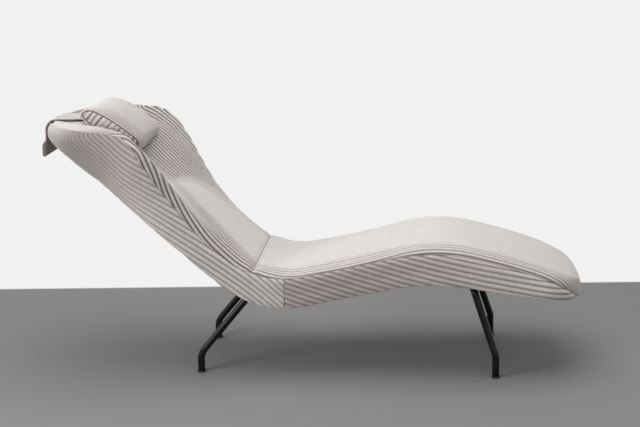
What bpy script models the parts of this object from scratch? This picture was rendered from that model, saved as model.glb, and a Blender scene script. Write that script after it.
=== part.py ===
"""Upholstered chaise longue: an S-shaped padded shell on four bent tube legs, with a head
pillow that slides along the back on a strap and a weighted flap behind the head end.

+X runs from the head to the foot, +Y is the far side in the usual view, +Z is up. The floor
is z = 0. Lengths along the shell, called s, follow the underside from the head to the foot,
and h is the height above the underside, square to it.
"""

import math

import bmesh
import bpy
import numpy as np
from mathutils import Matrix, Vector

# Underside line, seen from the side
BACK_ANGLE = math.radians(42.2)
THIGH_ANGLE = math.radians(11.3)
CALF_ANGLE = math.radians(8.06)
HIP_POINT = np.array([-0.162, 0.198])
THIGH_LENGTH = 0.541
BACK_LENGTH = 0.853
CALF_LENGTH = 0.485
HIP_RADIUS = 0.32
KNEE_RADIUS = 0.55

# Where the straights and bends of the drawn underside meet; the places below are places on it
DRAWN = (0.0, 0.6917, 0.9905, 1.2764, 1.4623, 1.8533)
S_HEAD = -0.024
CREASE_AT = 0.777
SIDE_SEAM_AT = 0.922
FOOT_TIP_AT = 1.815
HEAD_LIP = -0.020
CREASE_DEPTH = 0.012

# Widths and heights of the shell at places along it, as (place, value)
BASE_HALF = ((-0.02, 0.160), (0.12, 0.150), (0.22, 0.165), (0.32, 0.205), (0.42, 0.236), (0.50, 0.246),
             (0.55, 0.246), (0.70, 0.240), (0.85, 0.240), (1.00, 0.236), (1.12, 0.232), (1.25, 0.236),
             (1.37, 0.246), (1.50, 0.250), (1.86, 0.250))
SEAM_HALF = ((-0.02, 0.262), (0.12, 0.285), (0.25, 0.325), (0.33, 0.309), (0.40, 0.288), (0.55, 0.262),
             (0.70, 0.254), (0.85, 0.248), (1.00, 0.241), (1.12, 0.236), (1.25, 0.240), (1.37, 0.249),
             (1.50, 0.252), (1.86, 0.250))
RIDGE_HALF = ((-0.02, 0.258), (0.12, 0.272), (0.20, 0.307), (0.25, 0.315), (0.33, 0.295), (0.40, 0.273),
              (0.485, 0.252), (0.55, 0.240), (0.66, 0.228), (0.757, 0.228), (0.85, 0.220),
              (0.92, 0.214), (1.00, 0.208), (1.12, 0.203), (1.20, 0.206), (1.28, 0.214), (1.37, 0.220),
              (1.50, 0.222), (1.86, 0.222))
DISH_HALF = ((-0.02, 0.188), (0.06, 0.188), (0.12, 0.175), (0.17, 0.140), (0.21, 0.090),
             (0.26, 0.024), (1.86, 0.024))
DISH_ROUND = 0.020
BASE_DROP = ((-0.02, 0.032), (0.12, 0.0322), (0.22, 0.022), (0.32, 0.0123), (0.42, 0.0045), (0.50, 0.0),
             (1.86, 0.0))
REAR_BULGE = ((-0.02, 0.012), (0.12, 0.012), (0.22, 0.010), (0.35, 0.004), (0.47, 0.0), (1.86, 0.0))
SIDE_BULGE = ((-0.02, 0.020), (0.20, 0.018), (0.35, 0.008), (0.50, 0.004), (1.86, 0.004))
SEAM_HEIGHT = ((-0.02, 0.036), (0.00, 0.041), (0.05, 0.068), (0.10, 0.105), (0.134, 0.132),
               (0.165, 0.153), (0.20, 0.166), (0.235, 0.165), (0.262, 0.155), (0.328, 0.133),
               (0.377, 0.1175), (0.444, 0.1005), (0.521, 0.083), (0.598, 0.073), (0.657, 0.0735),
               (0.709, 0.077), (0.757, 0.083), (0.84, 0.088), (0.92, 0.091), (1.10, 0.089),
               (1.30, 0.093), (1.40, 0.094), (1.50, 0.091), (1.60, 0.079), (1.70, 0.061), (1.80, 0.040),
               (1.86, 0.030))
RIDGE_HEIGHT = ((-0.02, 0.042), (0.004, 0.0513), (0.03, 0.0645), (0.058, 0.0905), (0.086, 0.1145),
                (0.114, 0.1375), (0.143, 0.156), (0.173, 0.1755), (0.209, 0.1855), (0.249, 0.185),
                (0.293, 0.176), (0.336, 0.166), (0.396, 0.1465), (0.436, 0.135), (0.485, 0.1225),
                (0.53, 0.1145), (0.597, 0.106), (0.658, 0.104), (0.757, 0.106), (0.85, 0.108),
                (1.00, 0.105), (1.12, 0.104), (1.25, 0.107), (1.37, 0.115), (1.46, 0.114),
                (1.55, 0.106), (1.64, 0.094), (1.72, 0.080), (1.80, 0.062), (1.86, 0.050))
CENTRE_HEIGHT = ((-0.02, 0.032), (0.00, 0.035), (0.0185, 0.042), (0.036, 0.0545), (0.05, 0.066),
                 (0.07, 0.0745), (0.10, 0.0774), (0.16, 0.0818), (0.22, 0.0855), (0.29, 0.0835),
                 (0.36, 0.0815), (0.378, 0.0820), (0.396, 0.0965), (0.42, 0.1085), (0.46, 0.119),
                 (0.53, 0.127), (0.60, 0.127), (0.68, 0.121), (0.757, 0.116), (0.85, 0.117),
                 (1.00, 0.115), (1.12, 0.114), (1.25, 0.117), (1.37, 0.124), (1.46, 0.122),
                 (1.55, 0.113), (1.64, 0.101), (1.72, 0.086), (1.80, 0.068), (1.86, 0.055))

# Rounding of the two ends, seen from above and from the side
HEAD_ROUND = 0.11
HEAD_RIDGE_ROUND = 0.24
HEAD_NOSE = 0.036
HEAD_TOP_NOSE = 0.070
FOOT_ROUND = 0.14
FOOT_RIDGE_ROUND = 0.20
FOOT_NOSE = 0.055

# Make-up of the shell
CLOTH = 0.002
GAP = 0.0004
RAIL_LOW = 0.0030
RAIL_TOP = 0.0355
RAIL_WIDTH = 0.040
RAIL_INSET = 0.0050
WEB_THICK = 0.0022
WEB_WIDTH = 0.050
FOAM_LOW = 0.0392
BOARD_THICK = 0.009
ROD_RADIUS = 0.0030
RAILS_FROM_AT = 0.083
RAILS_TO_AT = 1.703

# Legs
TUBE_RADIUS = 0.0112
TUBE_BORE = 0.0097
GLIDE_RADIUS = 0.0138
GLIDE_HEIGHT = 0.0065
REAR_FOOT = (-0.348, 0.186)
REAR_TOP_Y = 0.172
REAR_BEND = 0.061
REAR_TOP_AT = 0.8006
REAR_BEND_RADIUS = 0.055
FRONT_FOOT = (0.573, 0.2355)
FRONT_TOP_Y = 0.214
FRONT_BEND = 0.070
FRONT_TOP_AT = 1.5064
FRONT_BEND_RADIUS = 0.030
PLATE_THICK = 0.003
PLATE_LENGTH = 0.070
BOLT_RADIUS = 0.003

# Head pillow, strap and weighted flap
PILLOW_S = 0.040
PILLOW_HALF = 0.167
PILLOW_TAPER = 0.02
PILLOW_DROOP = 0.012
PILLOW_SAG = 0.012
PILLOW_CLOTH = 0.002
PILLOW_TOP = 0.0812
PILLOW_CROWN = 0.006
PILLOW_TRAVEL = 0.06
PILLOW_SPARE = 0.040
FLOOR_AT_ZERO = 0.0699
FLOOR_SLOPE = 0.0739
STRAP_HALF = 0.073
STRAP_THICK = 0.006
STRAP_BEND_IN = -0.0066
STRAP_BEND_RADIUS = 0.034
FLAP_BOTTOM_BELOW = 0.098
FLAP_TOP_BELOW = 0.033
STRAP_TAIL_BELOW = 0.059
BAR_THICK = 0.006
BAR_HEIGHT = 0.028

FABRIC = (0.56, 0.51, 0.46)
LINING = (0.30, 0.28, 0.26)
BEECH = (0.62, 0.43, 0.25)
WEBBING = (0.12, 0.11, 0.10)
FOAM = (0.80, 0.76, 0.62)
BLACK = (0.012, 0.012, 0.013)
STEEL = (0.55, 0.55, 0.56)


def monotone(s, pairs):
    """Value at s of a smooth curve through the pairs that never overshoots them."""
    xs = np.array([p[0] for p in pairs])
    ys = np.array([p[1] for p in pairs])
    s = np.clip(np.asarray(s, float), xs[0], xs[-1])
    step = np.diff(xs)
    slope = np.diff(ys) / step
    m = np.concatenate([[slope[0]], (slope[:-1] + slope[1:]) / 2, [slope[-1]]])
    turn = slope[:-1] * slope[1:] <= 0
    m[1:-1][turn] = 0.0
    limit = 3 * np.minimum(np.abs(np.append(slope, slope[-1])), np.abs(np.insert(slope, 0, slope[0])))
    m = np.sign(m) * np.minimum(np.abs(m), limit)
    i = np.clip(np.searchsorted(xs, s) - 1, 0, len(step) - 1)
    t = (s - xs[i]) / step[i]
    a = ys[i] * (1 + 2 * t) * (1 - t) ** 2 + ys[i + 1] * t * t * (3 - 2 * t)
    return a + step[i] * (m[i] * t * (1 - t) ** 2 + m[i + 1] * t * t * (t - 1))


def unit(angle):
    """Direction in the side view at an angle above +X."""
    return np.array([math.cos(angle), math.sin(angle)])


class Underside:
    """The underside seen from the side: three straights joined by two arcs."""

    def __init__(self):
        self.hip_tan = HIP_RADIUS * math.tan((BACK_ANGLE + THIGH_ANGLE) / 2)
        self.knee_tan = KNEE_RADIUS * math.tan((THIGH_ANGLE + CALF_ANGLE) / 2)
        self.s1 = BACK_LENGTH - self.hip_tan
        self.s2 = self.s1 + HIP_RADIUS * (BACK_ANGLE + THIGH_ANGLE)
        self.s3 = self.s2 + THIGH_LENGTH - self.hip_tan - self.knee_tan
        self.s4 = self.s3 + KNEE_RADIUS * (THIGH_ANGLE + CALF_ANGLE)
        self.end = self.s4 + CALF_LENGTH - self.knee_tan
        self.head = HIP_POINT - unit(-BACK_ANGLE) * BACK_LENGTH
        self.p1 = self.head + unit(-BACK_ANGLE) * self.s1
        self.c1 = self.p1 + unit(math.pi / 2 - BACK_ANGLE) * HIP_RADIUS
        self.p2 = self.c1 - unit(math.pi / 2 + THIGH_ANGLE) * HIP_RADIUS
        self.p3 = self.p2 + unit(THIGH_ANGLE) * (self.s3 - self.s2)
        self.c2 = self.p3 - unit(math.pi / 2 + THIGH_ANGLE) * KNEE_RADIUS
        self.p4 = self.c2 + unit(math.pi / 2 - CALF_ANGLE) * KNEE_RADIUS
        self.knots = (0.0, self.s1, self.s2, self.s3, self.s4, self.end)

    def at(self, drawn):
        """Place along this underside for a place on the drawn one."""
        drawn = np.asarray(drawn, float)
        return np.interp(drawn, DRAWN, self.knots) + np.minimum(drawn, 0)

    def drawn(self, s):
        """Place on the drawn underside for a place along this one."""
        s = np.asarray(s, float)
        return np.interp(s, self.knots, DRAWN) + np.minimum(s, 0)

    def angle(self, s):
        """Slope angle of the underside at s."""
        s = np.asarray(s, float)
        hip = np.clip((s - self.s1) / HIP_RADIUS, 0, BACK_ANGLE + THIGH_ANGLE)
        knee = np.clip((s - self.s3) / KNEE_RADIUS, 0, THIGH_ANGLE + CALF_ANGLE)
        return -BACK_ANGLE + hip - knee

    def point(self, s):
        """Point of the underside at s, as x and z in the last axis."""
        s = np.asarray(s, float)
        a = self.angle(s)
        n = np.stack([-np.sin(a), np.cos(a)], -1)
        back = self.head + s[..., None] * unit(-BACK_ANGLE)
        hip = self.c1 - HIP_RADIUS * n
        thigh = self.p2 + (s - self.s2)[..., None] * unit(THIGH_ANGLE)
        knee = self.c2 + KNEE_RADIUS * n
        calf = self.p4 + (s - self.s4)[..., None] * unit(-CALF_ANGLE)
        out = np.where((s <= self.s1)[..., None], back, hip)
        out = np.where((s > self.s2)[..., None], thigh, out)
        out = np.where((s > self.s3)[..., None], knee, out)
        return np.where((s > self.s4)[..., None], calf, out)

    def place(self, s, y, h):
        """World points for places s, y, h on the shell."""
        s, y, h = np.broadcast_arrays(np.asarray(s, float), np.asarray(y, float), np.asarray(h, float))
        a = self.angle(s)
        p = self.point(s)
        return np.stack([p[..., 0] - np.sin(a) * h, y, p[..., 1] + np.cos(a) * h], -1)


LINE = Underside()
S_FOOT = LINE.end
S_CREASE = float(LINE.at(CREASE_AT))
S_SIDE_SEAM = float(LINE.at(SIDE_SEAM_AT))
FOOT_TIP = float(LINE.at(FOOT_TIP_AT))
RAILS_FROM = float(LINE.at(RAILS_FROM_AT))
RAILS_TO = float(LINE.at(RAILS_TO_AT))
REAR_TOP_S = float(LINE.at(REAR_TOP_AT))
FRONT_TOP_S = float(LINE.at(FRONT_TOP_AT))
STRAP_BEND_X = LINE.head[0] + STRAP_BEND_IN
FLAP_BOTTOM = LINE.head[1] - FLAP_BOTTOM_BELOW
FLAP_TOP = LINE.head[1] - FLAP_TOP_BELOW
STRAP_TAIL = LINE.head[1] - STRAP_TAIL_BELOW


def end_round(distance, depth, power):
    """Factor from 0 at an end to 1 at a depth in from it, like a rounded corner."""
    t = np.clip(1 - distance / depth, 0, 1)
    return (1 - t ** power) ** (1 / power)


def levels(s):
    """Half widths and heights of the shell's section at s."""
    s = np.asarray(s, float)
    place = LINE.drawn(s)
    from_head = np.clip(s - S_HEAD, 0, None)
    from_foot = np.clip(S_FOOT - s, 0, None)
    wide = end_round(from_head, HEAD_ROUND, 2.5) * end_round(from_foot, FOOT_ROUND, 2.4)
    ridge = end_round(from_head, HEAD_RIDGE_ROUND, 2.2) * end_round(from_foot, FOOT_RIDGE_ROUND, 2.2)
    nose = end_round(from_head, HEAD_NOSE, 2.0)
    brow = end_round(from_head, HEAD_TOP_NOSE, 2.0)
    tail = end_round(from_foot, FOOT_NOSE, 2.0)
    tip = np.clip((FOOT_TIP + 0.004 - s) / 0.10, 0, 1)

    def lift(pairs):
        return (HEAD_LIP + (monotone(place, pairs) - HEAD_LIP) * brow) * tail

    seam_half = monotone(place, SEAM_HALF) * wide
    ridge_half = np.minimum(monotone(place, RIDGE_HALF) * ridge, seam_half * 0.985)
    seam = lift(SEAM_HEIGHT) * np.sqrt(tip * (2 - tip))
    return {
        "base": monotone(place, BASE_HALF) * wide,
        "seam": seam_half,
        "ridge": ridge_half,
        "dish": np.minimum(monotone(place, DISH_HALF), ridge_half * 0.93),
        "bulge": monotone(place, SIDE_BULGE) * wide,
        "h_base": HEAD_LIP * (1 - nose) - monotone(place, BASE_DROP) * nose,
        "h_bulge": monotone(place, REAR_BULGE) * nose,
        "h_seam": seam,
        "h_ridge": np.maximum(lift(RIDGE_HEIGHT), seam + 0.0005),
        "h_centre": lift(CENTRE_HEIGHT),
    }


def ramp(x, rounding):
    """A straight rise from 0 on, with a rounded start."""
    return (np.sqrt(x * x + rounding ** 2) + x) / 2


def top_section(s, v):
    """Place (y, h) on the top of the shell; v is 0 in the middle, 1 on the ridge and 2 at the seam."""
    q = levels(s)
    a = np.abs(v)
    t = np.clip(a, 0, 1)
    turn = np.clip(a - 1, 0, 1) * math.pi / 2
    y = q["ridge"] * t + (q["seam"] - q["ridge"]) * np.sin(turn)
    wide = q["ridge"] - q["dish"]
    soft = np.minimum(DISH_ROUND, 0.3 * wide)
    low = ramp(-q["dish"], soft)
    rise = (ramp(q["ridge"] * t - q["dish"], soft) - low) / np.maximum(ramp(wide, soft) - low, 1e-4)
    dip = np.maximum(q["h_ridge"] - q["h_centre"], 0)
    crown = np.maximum(q["h_centre"] - q["h_ridge"], 0)
    flat = q["h_ridge"] - dip * (1 - rise) + crown * (1 - t * t)
    h = np.where(a <= 1, flat, q["h_seam"] + (q["h_ridge"] - q["h_seam"]) * np.cos(turn))
    crease = CREASE_DEPTH * np.exp(-((s - S_CREASE) / 0.016) ** 2)
    h = h - crease * np.clip(2 - a, 0, 1)
    return np.sign(v) * y, h


def top_place(s, v):
    """World points on the top of the shell."""
    return LINE.place(s, *top_section(s, v))


def top_outward(s, v):
    """Outward directions of the top of the shell at places s, v."""
    step = 0.0005
    along = top_place(s + step, v) - top_place(s - step, v)
    across = top_place(s, v + step) - top_place(s, v - step)
    normal = np.cross(along, across)
    return normal / np.maximum(np.linalg.norm(normal, axis=-1, keepdims=True), 1e-12)


def side_section(s, u):
    """Place (y, h) on the side of the shell; u runs from 0 at the seam to 1 at the underside."""
    q = levels(s)
    y = q["seam"] + (q["base"] - q["seam"]) * u + q["bulge"] * np.sin(math.pi * u)
    return y, q["h_seam"] + (q["h_base"] - q["h_seam"]) * u


def side_inside(s, h, clearance):
    """Half width inside the side of the shell at a height h, with a clearance square to the side."""
    q = levels(s)
    u = np.clip((q["h_seam"] - h) / np.maximum(q["h_seam"] - q["h_base"], 0.01), 0, 1)
    ahead = side_section(s + 0.001, u)[0]
    behind = side_section(s - 0.001, u)[0]
    lean = (side_section(s, u + 0.01)[0] - side_section(s,
                                                        u - 0.01)[0]) / (0.02 * (q["h_seam"] - q["h_base"]))
    slope = (ahead - behind) / 0.002
    return side_section(s, u)[0] - clearance * np.sqrt(1 + slope ** 2 + lean ** 2)


def rear_section(s, t, inset=0.0):
    """Place (y, h) on the underside, which bulges behind the head; t runs from -1 to 1."""
    q = levels(s)
    return q["base"] * t, q["h_base"] - q["h_bulge"] * (1 - t * t) + inset


def spaced(stops, counts):
    """Places between stops, with a number of steps in each interval."""
    parts = [np.linspace(a, b, n, endpoint=False) for a, b, n in zip(stops[:-1], stops[1:], counts)]
    return np.concatenate(parts + [[stops[-1]]])


def eased(a, b, n):
    """Places from a to b, close together near a."""
    return a + (b - a) * (1 - np.cos(np.linspace(0, math.pi / 2, n)))


def material(name, colour, roughness, metallic=0.0):
    """A Principled material of one colour."""
    mat = bpy.data.materials.get(name)
    if mat is None:
        mat = bpy.data.materials.new(name)
        mat.use_nodes = True
        node = mat.node_tree.nodes["Principled BSDF"]
        node.inputs["Base Color"].default_value = (*colour, 1.0)
        node.inputs["Roughness"].default_value = roughness
        node.inputs["Metallic"].default_value = metallic
    return mat


class Workshop:
    """Makes the named pieces and hangs them on their parents."""

    def __init__(self):
        self.parent = None
        self.finish = None

    def use(self, parent, finish):
        self.parent = parent
        self.finish = finish

    def piece(self, name, verts, faces, smooth=True):
        """One named object from points and faces, with its faces turned outwards."""
        mesh = bpy.data.meshes.new(name)
        bm = bmesh.new()
        made = [bm.verts.new(p) for p in verts]
        for face in faces:
            bm.faces.new([made[i] for i in face])
        bmesh.ops.recalc_face_normals(bm, faces=bm.faces[:])
        if bm.calc_volume(signed=True) < 0:
            bmesh.ops.reverse_faces(bm, faces=bm.faces[:])
        bm.to_mesh(mesh)
        bm.free()
        if smooth:
            mesh.shade_smooth()
            mesh.set_sharp_from_angle(angle=math.radians(40))
        obj = bpy.data.objects.new(name, mesh)
        bpy.context.scene.collection.objects.link(obj)
        mesh.materials.append(material(*self.finish))
        if self.parent is not None:
            obj.parent = self.parent
            obj.matrix_parent_inverse = Matrix.Translation(-self.parent.location)
        return obj

    def loft(self, name, rings, smooth=True):
        """A solid skinned over closed rings of points, with both ends filled."""
        rings = np.asarray(rings, float)
        n, m = rings.shape[:2]
        at = np.arange(n * m).reshape(n, m)
        right = np.roll(at, -1, 1)
        one = np.stack([at[:-1], right[:-1], right[1:]], -1).reshape(-1, 3)
        two = np.stack([at[:-1], right[1:], at[1:]], -1).reshape(-1, 3)
        ends = [at[0].tolist(), at[-1][::-1].tolist()]
        return self.piece(name, rings.reshape(-1, 3).tolist(), one.tolist() + two.tolist() + ends, smooth)

    def sheet(self, name, outer, thick, normals=None):
        """A cloth panel: a grid of points on its outer face, thickened inwards."""
        n, m = outer.shape[:2]
        normals = outward(outer) if normals is None else normals
        points = np.concatenate([outer, outer - normals * thick]).reshape(-1, 3)
        at = np.arange(n * m).reshape(n, m)
        one = np.stack([at[:-1, :-1], at[1:, :-1], at[1:, 1:]], -1).reshape(-1, 3)
        two = np.stack([at[:-1, :-1], at[1:, 1:], at[:-1, 1:]], -1).reshape(-1, 3)
        top = np.concatenate([one, two])
        low = top[:, ::-1] + n * m
        edge = np.concatenate([at[0, :-1], at[:-1, -1], at[-1, :0:-1], at[:0:-1, 0]])
        following = np.roll(edge, -1)
        rim = np.stack([edge, following, following + n * m, edge + n * m], -1)
        return self.piece(name, points.tolist(), top.tolist() + low.tolist() + rim.tolist())

    def slab(self, name, s, low, high, inner, outer, steps=6):
        """A bar that follows the underside between two places, from y inner to y outer."""
        at = np.linspace(s[0], s[1], steps)
        y0 = np.broadcast_to(inner(at) if callable(inner) else inner, at.shape)
        y1 = np.broadcast_to(outer(at) if callable(outer) else outer, at.shape)
        corners = [(y0, low), (y1, low), (y1, high), (y0, high)]
        rings = np.stack([LINE.place(at, y, h) for y, h in corners], 1)
        return self.loft(name, rings, smooth=False)

    def turned(self, name, start, axis, profile, sides=16):
        """A turned piece: (distance along the axis, radius) pairs round an axis."""
        axis = Vector(axis).normalized()
        across = axis.orthogonal().normalized()
        third = axis.cross(across)
        angle = np.arange(sides) * 2 * math.pi / sides
        ring = np.cos(angle)[:, None] * np.array(across) + np.sin(angle)[:, None] * np.array(third)
        rings = [np.array(start) + np.array(axis) * d + ring * r for d, r in profile]
        return self.loft(name, rings)

    def tube(self, name, path, across, cut_point, cut_normal, sides=14):
        """A hollow tube along a path bent in one plane; its last end is cut on a plane."""
        path = np.asarray(path, float)
        ahead = np.gradient(path, axis=0)
        ahead /= np.linalg.norm(ahead, axis=1, keepdims=True)
        across = across / np.linalg.norm(across)
        angle = np.arange(sides) * 2 * math.pi / sides
        rings = []
        for radius in (TUBE_RADIUS, TUBE_BORE):
            third = np.cross(ahead, across)
            ring = (np.cos(angle)[None, :, None] * across
                    + np.sin(angle)[None, :, None] * third[:, None, :]) * radius + path[:, None, :]
            to_plane = ((cut_point - ring[-1]) @ cut_normal) / (ahead[-1] @ cut_normal)
            ring[-1] += to_plane[:, None] * ahead[-1]
            rings.append(ring)
        loop = np.concatenate([rings[0], rings[1][::-1]])
        n, m = loop.shape[:2]
        at = np.arange(n * m).reshape(n, m)
        right = np.roll(at, -1, 1)
        below = np.roll(at, -1, 0)
        quads = np.stack([at, right, np.roll(right, -1, 0), below], -1).reshape(-1, 4)
        return self.piece(name, loop.reshape(-1, 3).tolist(), quads.tolist())


def cut(obj, cutter):
    """Cut one piece with another and keep the result as its mesh."""
    mod = obj.modifiers.new("cut", "BOOLEAN")
    mod.operation = "DIFFERENCE"
    mod.solver = "EXACT"
    mod.object = cutter


def mirror_y(points, side):
    """Points for one side: +1 keeps y, -1 mirrors it."""
    points = np.array(points, float)
    points[..., 1] *= side
    return points


def rail_outer(s, h):
    """Outer face of a side rail at a height h."""
    return side_inside(s, h, RAIL_INSET)


def rail_inner(s):
    """Inner face of a side rail."""
    return rail_outer(s, RAIL_LOW) - RAIL_WIDTH


def frame(shop, root, bolts):
    """The wooden frame: side rails, cross rails, back boards and webbing."""
    shop.use(root, ("beech", BEECH, 0.55))
    for word, side in (("left", -1), ("right", 1)):
        at = LINE.at(spaced((0.086, 0.13, 0.66, 1.0, 1.28, 1.47, 1.70), (4, 16, 17, 2, 7, 3)))
        corners = [(rail_inner(at), RAIL_LOW), (rail_outer(at, RAIL_LOW), RAIL_LOW),
                   (rail_outer(at, RAIL_TOP), RAIL_TOP), (rail_inner(at), RAIL_TOP)]
        rings = np.stack([mirror_y(LINE.place(at, y, h), side) for y, h in corners], 1)
        cut(shop.loft("side_rail_" + word, rings, smooth=False), bolts)

        back = panel_places()[0]
        at = back[(back > LINE.at(0.089)) & (back < LINE.at(0.69))]
        low = np.full_like(at, RAIL_TOP + GAP)
        high = levels(at)["h_seam"] - 0.016
        middle = (low + high) / 2
        out = [side_inside(at, h, CLOTH + 0.0028) for h in (low, middle, high)]
        corners = [(out[1] - BOARD_THICK * 1.3, middle), (out[0] - BOARD_THICK * 1.3, low),
                   (out[0], low), (out[1], middle),
                   (out[2], high), (out[2] - BOARD_THICK * 1.3, high)]
        rings = np.stack([mirror_y(LINE.place(at, y, h), side) for y, h in corners], 1)
        shop.loft("back_side_board_" + word, rings, smooth=False)

    def width(s):
        return float(rail_inner(np.linspace(s[0], s[1], 9)).min()) - 0.0008

    rails = (("head_rail", (0.090, 0.130)), ("back_rail", (0.400, 0.440)),
             ("rear_leg_rail", (0.764, 0.837)),
             ("front_leg_rail", (1.470, 1.540)), ("foot_rail", (1.655, 1.695)))
    for name, ends in rails:
        s = LINE.at(ends)
        half = width(s)
        made = shop.slab(name, s, RAIL_LOW, RAIL_TOP, -half, half)
        if name == "rear_leg_rail":
            cut(made, bolts)

    shop.use(root, ("webbing", WEBBING, 0.85))
    places = [("back_web_%d" % (i + 1), s) for i, s in enumerate((0.18, 0.29, 0.50, 0.61, 0.70))]
    places += [("seat_web_%d" % (i + 1), s) for i, s in enumerate((0.92, 1.05, 1.18, 1.31, 1.60))]
    for name, drawn in places:
        s = float(LINE.at(drawn))
        a, b = s - WEB_WIDTH / 2, s + WEB_WIDTH / 2
        edge = float(rail_outer(np.linspace(a, b, 5), RAIL_TOP).min())
        half = edge - (BOARD_THICK * 1.3 + 0.004 if drawn < 0.72 else 0.004)
        shop.slab(name, (a, b), RAIL_TOP + GAP, RAIL_TOP + GAP + WEB_THICK, -half, half)


def panel_places():
    """Places along and across the shell where the cover panels have their points."""
    half = np.array([0.0, 0.13, 0.40, 0.69, 0.87, 1.055, 1.39, 1.69, 1.978])
    back = np.concatenate([eased(S_HEAD + 0.0006, 0.05, 6), [0.066, 0.085],
                           spaced((0.11, 0.34, 0.48, 0.70), (8, 4, 4)),
                           [0.735, 0.758, 0.770, CREASE_AT - 0.0006]])
    seat = np.concatenate([[CREASE_AT + 0.0006, 0.784, 0.792, 0.806], spaced((0.82, 1.27, 1.47, 1.702),
                                                                            (6, 4, 4)),
                           [1.718], DRAWN[-1] - eased(0.0006, DRAWN[-1] - 1.74, 8)[::-1]])
    return LINE.at(back), LINE.at(seat), half


def outward(grid):
    """Outward directions of a grid of points that runs along the shell, then across it."""
    normal = np.cross(np.gradient(grid, axis=0), np.gradient(grid, axis=1))
    return normal / np.maximum(np.linalg.norm(normal, axis=-1, keepdims=True), 1e-12)


def padding_rings(places, half_v, first, last, boards):
    """Rings of the padding under a cover panel, with a step over the back boards."""
    inset = CLOTH + 0.0014
    at = places[(places > first - 1e-6) & (places < last + 1e-6)]
    s, v = np.meshgrid(at, half_v[:-2], indexing="ij")
    top = top_place(s, v) - top_outward(s, v) * inset
    q = levels(at)

    def wall(h, extra):
        return LINE.place(at, side_inside(at, h, inset) - extra, h)

    framed = (at > RAILS_FROM) & (at < RAILS_TO)
    low = np.where(framed, FOAM_LOW, RAIL_LOW + 0.0008)
    shoulder = np.maximum(q["h_seam"] - 0.007, low + 0.002)
    if boards:
        step = np.where(framed, q["h_seam"] - 0.016 + GAP * 2, (shoulder + low) / 2)
        thick = np.where(framed, BOARD_THICK * 1.3 + 0.0035, 0.0012)
        middle = np.where(framed, (RAIL_TOP + GAP + q["h_seam"] - 0.016) / 2, (step + low) / 2)
        side = [wall(shoulder, 0.0008), wall(step, 0.0008), wall(step - 0.0002, thick), wall(middle, thick),
                wall(low, thick)]
    else:
        side = [wall(shoulder, 0.0008), wall((shoulder + low) / 2, 0.0008), wall(low, 0.0008)]
    half = np.concatenate([top, np.stack(side, 1)], 1)
    other = mirror_y(half[:, 1:], -1)[:, ::-1]
    return np.concatenate([other, half], 1)


def padding(shop, root):
    """The foam of the back and of the seat, and the rod that draws the crease down."""
    shop.use(root, ("foam", FOAM, 0.9))
    back, seat, half_v = panel_places()
    shop.loft("back_foam", padding_rings(back, half_v, LINE.at(0.010), LINE.at(0.770), True))
    shop.loft("seat_foam", padding_rings(seat, half_v, LINE.at(0.784), FOOT_TIP - 0.004, False))
    at, y, low = lining_places()
    within = (at > LINE.at(0.03)) & (at < LINE.at(0.41))
    below = LINE.place(at[within, None], y[within, 1:-1], low[within, 1:-1] + CLOTH + 0.0032)
    above = LINE.place(at[within, None], y[within, -2:0:-1], RAIL_LOW - 0.0006)
    shop.loft("rear_padding", np.concatenate([below, above], 1))
    shop.use(root, ("rod_steel", STEEL, 0.4, 1.0))
    half = float(levels(S_CREASE)["ridge"]) - 0.01
    start = LINE.place(S_CREASE + 0.0040, -half, 0.088)
    shop.turned("crease_rod", start, (0, 1, 0), [(0, ROD_RADIUS), (2 * half, ROD_RADIUS)], 10)


def lining_places():
    """Places of the lining's points: s, and y and h for each s."""
    at = LINE.at(spaced((S_HEAD + 0.010, 0.04, 0.40, 0.69, 1.0, 1.28, 1.47, DRAWN[-1] - 0.02),
                        (4, 8, 4, 8, 4, 5, 6)))
    nearer = np.where(at < 0.5, at - 0.006, at + 0.006)
    edge = np.linspace(-1, 1, 7)
    h = rear_section(at[:, None], edge[None, :])[1]
    y = (np.minimum(levels(at)["base"], levels(nearer)["base"]) - CLOTH - 0.0014)[:, None] * edge[None, :]
    return at, y, h


def covers(shop, root, bolts):
    """The sewn cover: two top panels, four side panels and the lining underneath."""
    shop.use(root, ("cover_fabric", FABRIC, 0.95))
    back, seat, half_v = panel_places()
    v = np.concatenate([-half_v[:0:-1], half_v])
    for name, at in (("back_cover", back), ("seat_cover", seat)):
        s, w = np.meshgrid(at, v, indexing="ij")
        shop.sheet(name, top_place(s, w), CLOTH, top_outward(s, w))

    along = np.concatenate([back, seat])
    kinds = (("back_side_cover_", np.append(along[along < S_SIDE_SEAM], S_SIDE_SEAM - 0.0005)),
             ("seat_side_cover_",
              np.append(np.insert(along[(along > S_SIDE_SEAM) & (along < FOOT_TIP - 0.006)], 0,
                                                      S_SIDE_SEAM + 0.0005), FOOT_TIP - 0.002)))
    for word, side in (("left", -1), ("right", 1)):
        for name, at in kinds:
            q = levels(at)
            first = (0.0012 + 0.0034 * (LINE.drawn(at) < 0.20)) / (q["h_seam"] - q["h_base"])
            u = first[:, None] + (1 - first[:, None]) * np.linspace(0, 1, 5)
            y, h = side_section(at[:, None], u)
            grid = mirror_y(LINE.place(at[:, None], y, h), side)
            shop.sheet(name + word, grid if side > 0 else grid[:, ::-1], CLOTH)

    shop.use(root, ("lining", LINING, 0.95))
    at, y, h = lining_places()
    lining = shop.sheet("underside_lining", LINE.place(at[:, None], y, h)[:, ::-1], CLOTH)
    cut(lining, bolts)


def bolt_places():
    """Where the leg bolts stand: (name, s, y)."""
    out = []
    for word, side in (("left", -1), ("right", 1)):
        for end, s, y, reach in (("rear", REAR_TOP_S, REAR_TOP_Y, 0.023),
                                 ("front", FRONT_TOP_S, FRONT_TOP_Y, 0.025)):
            out.append(("%s_leg_bolt_%s_a" % (end, word), s - reach, y * side))
            out.append(("%s_leg_bolt_%s_b" % (end, word), s + reach, y * side))
    return out


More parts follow.
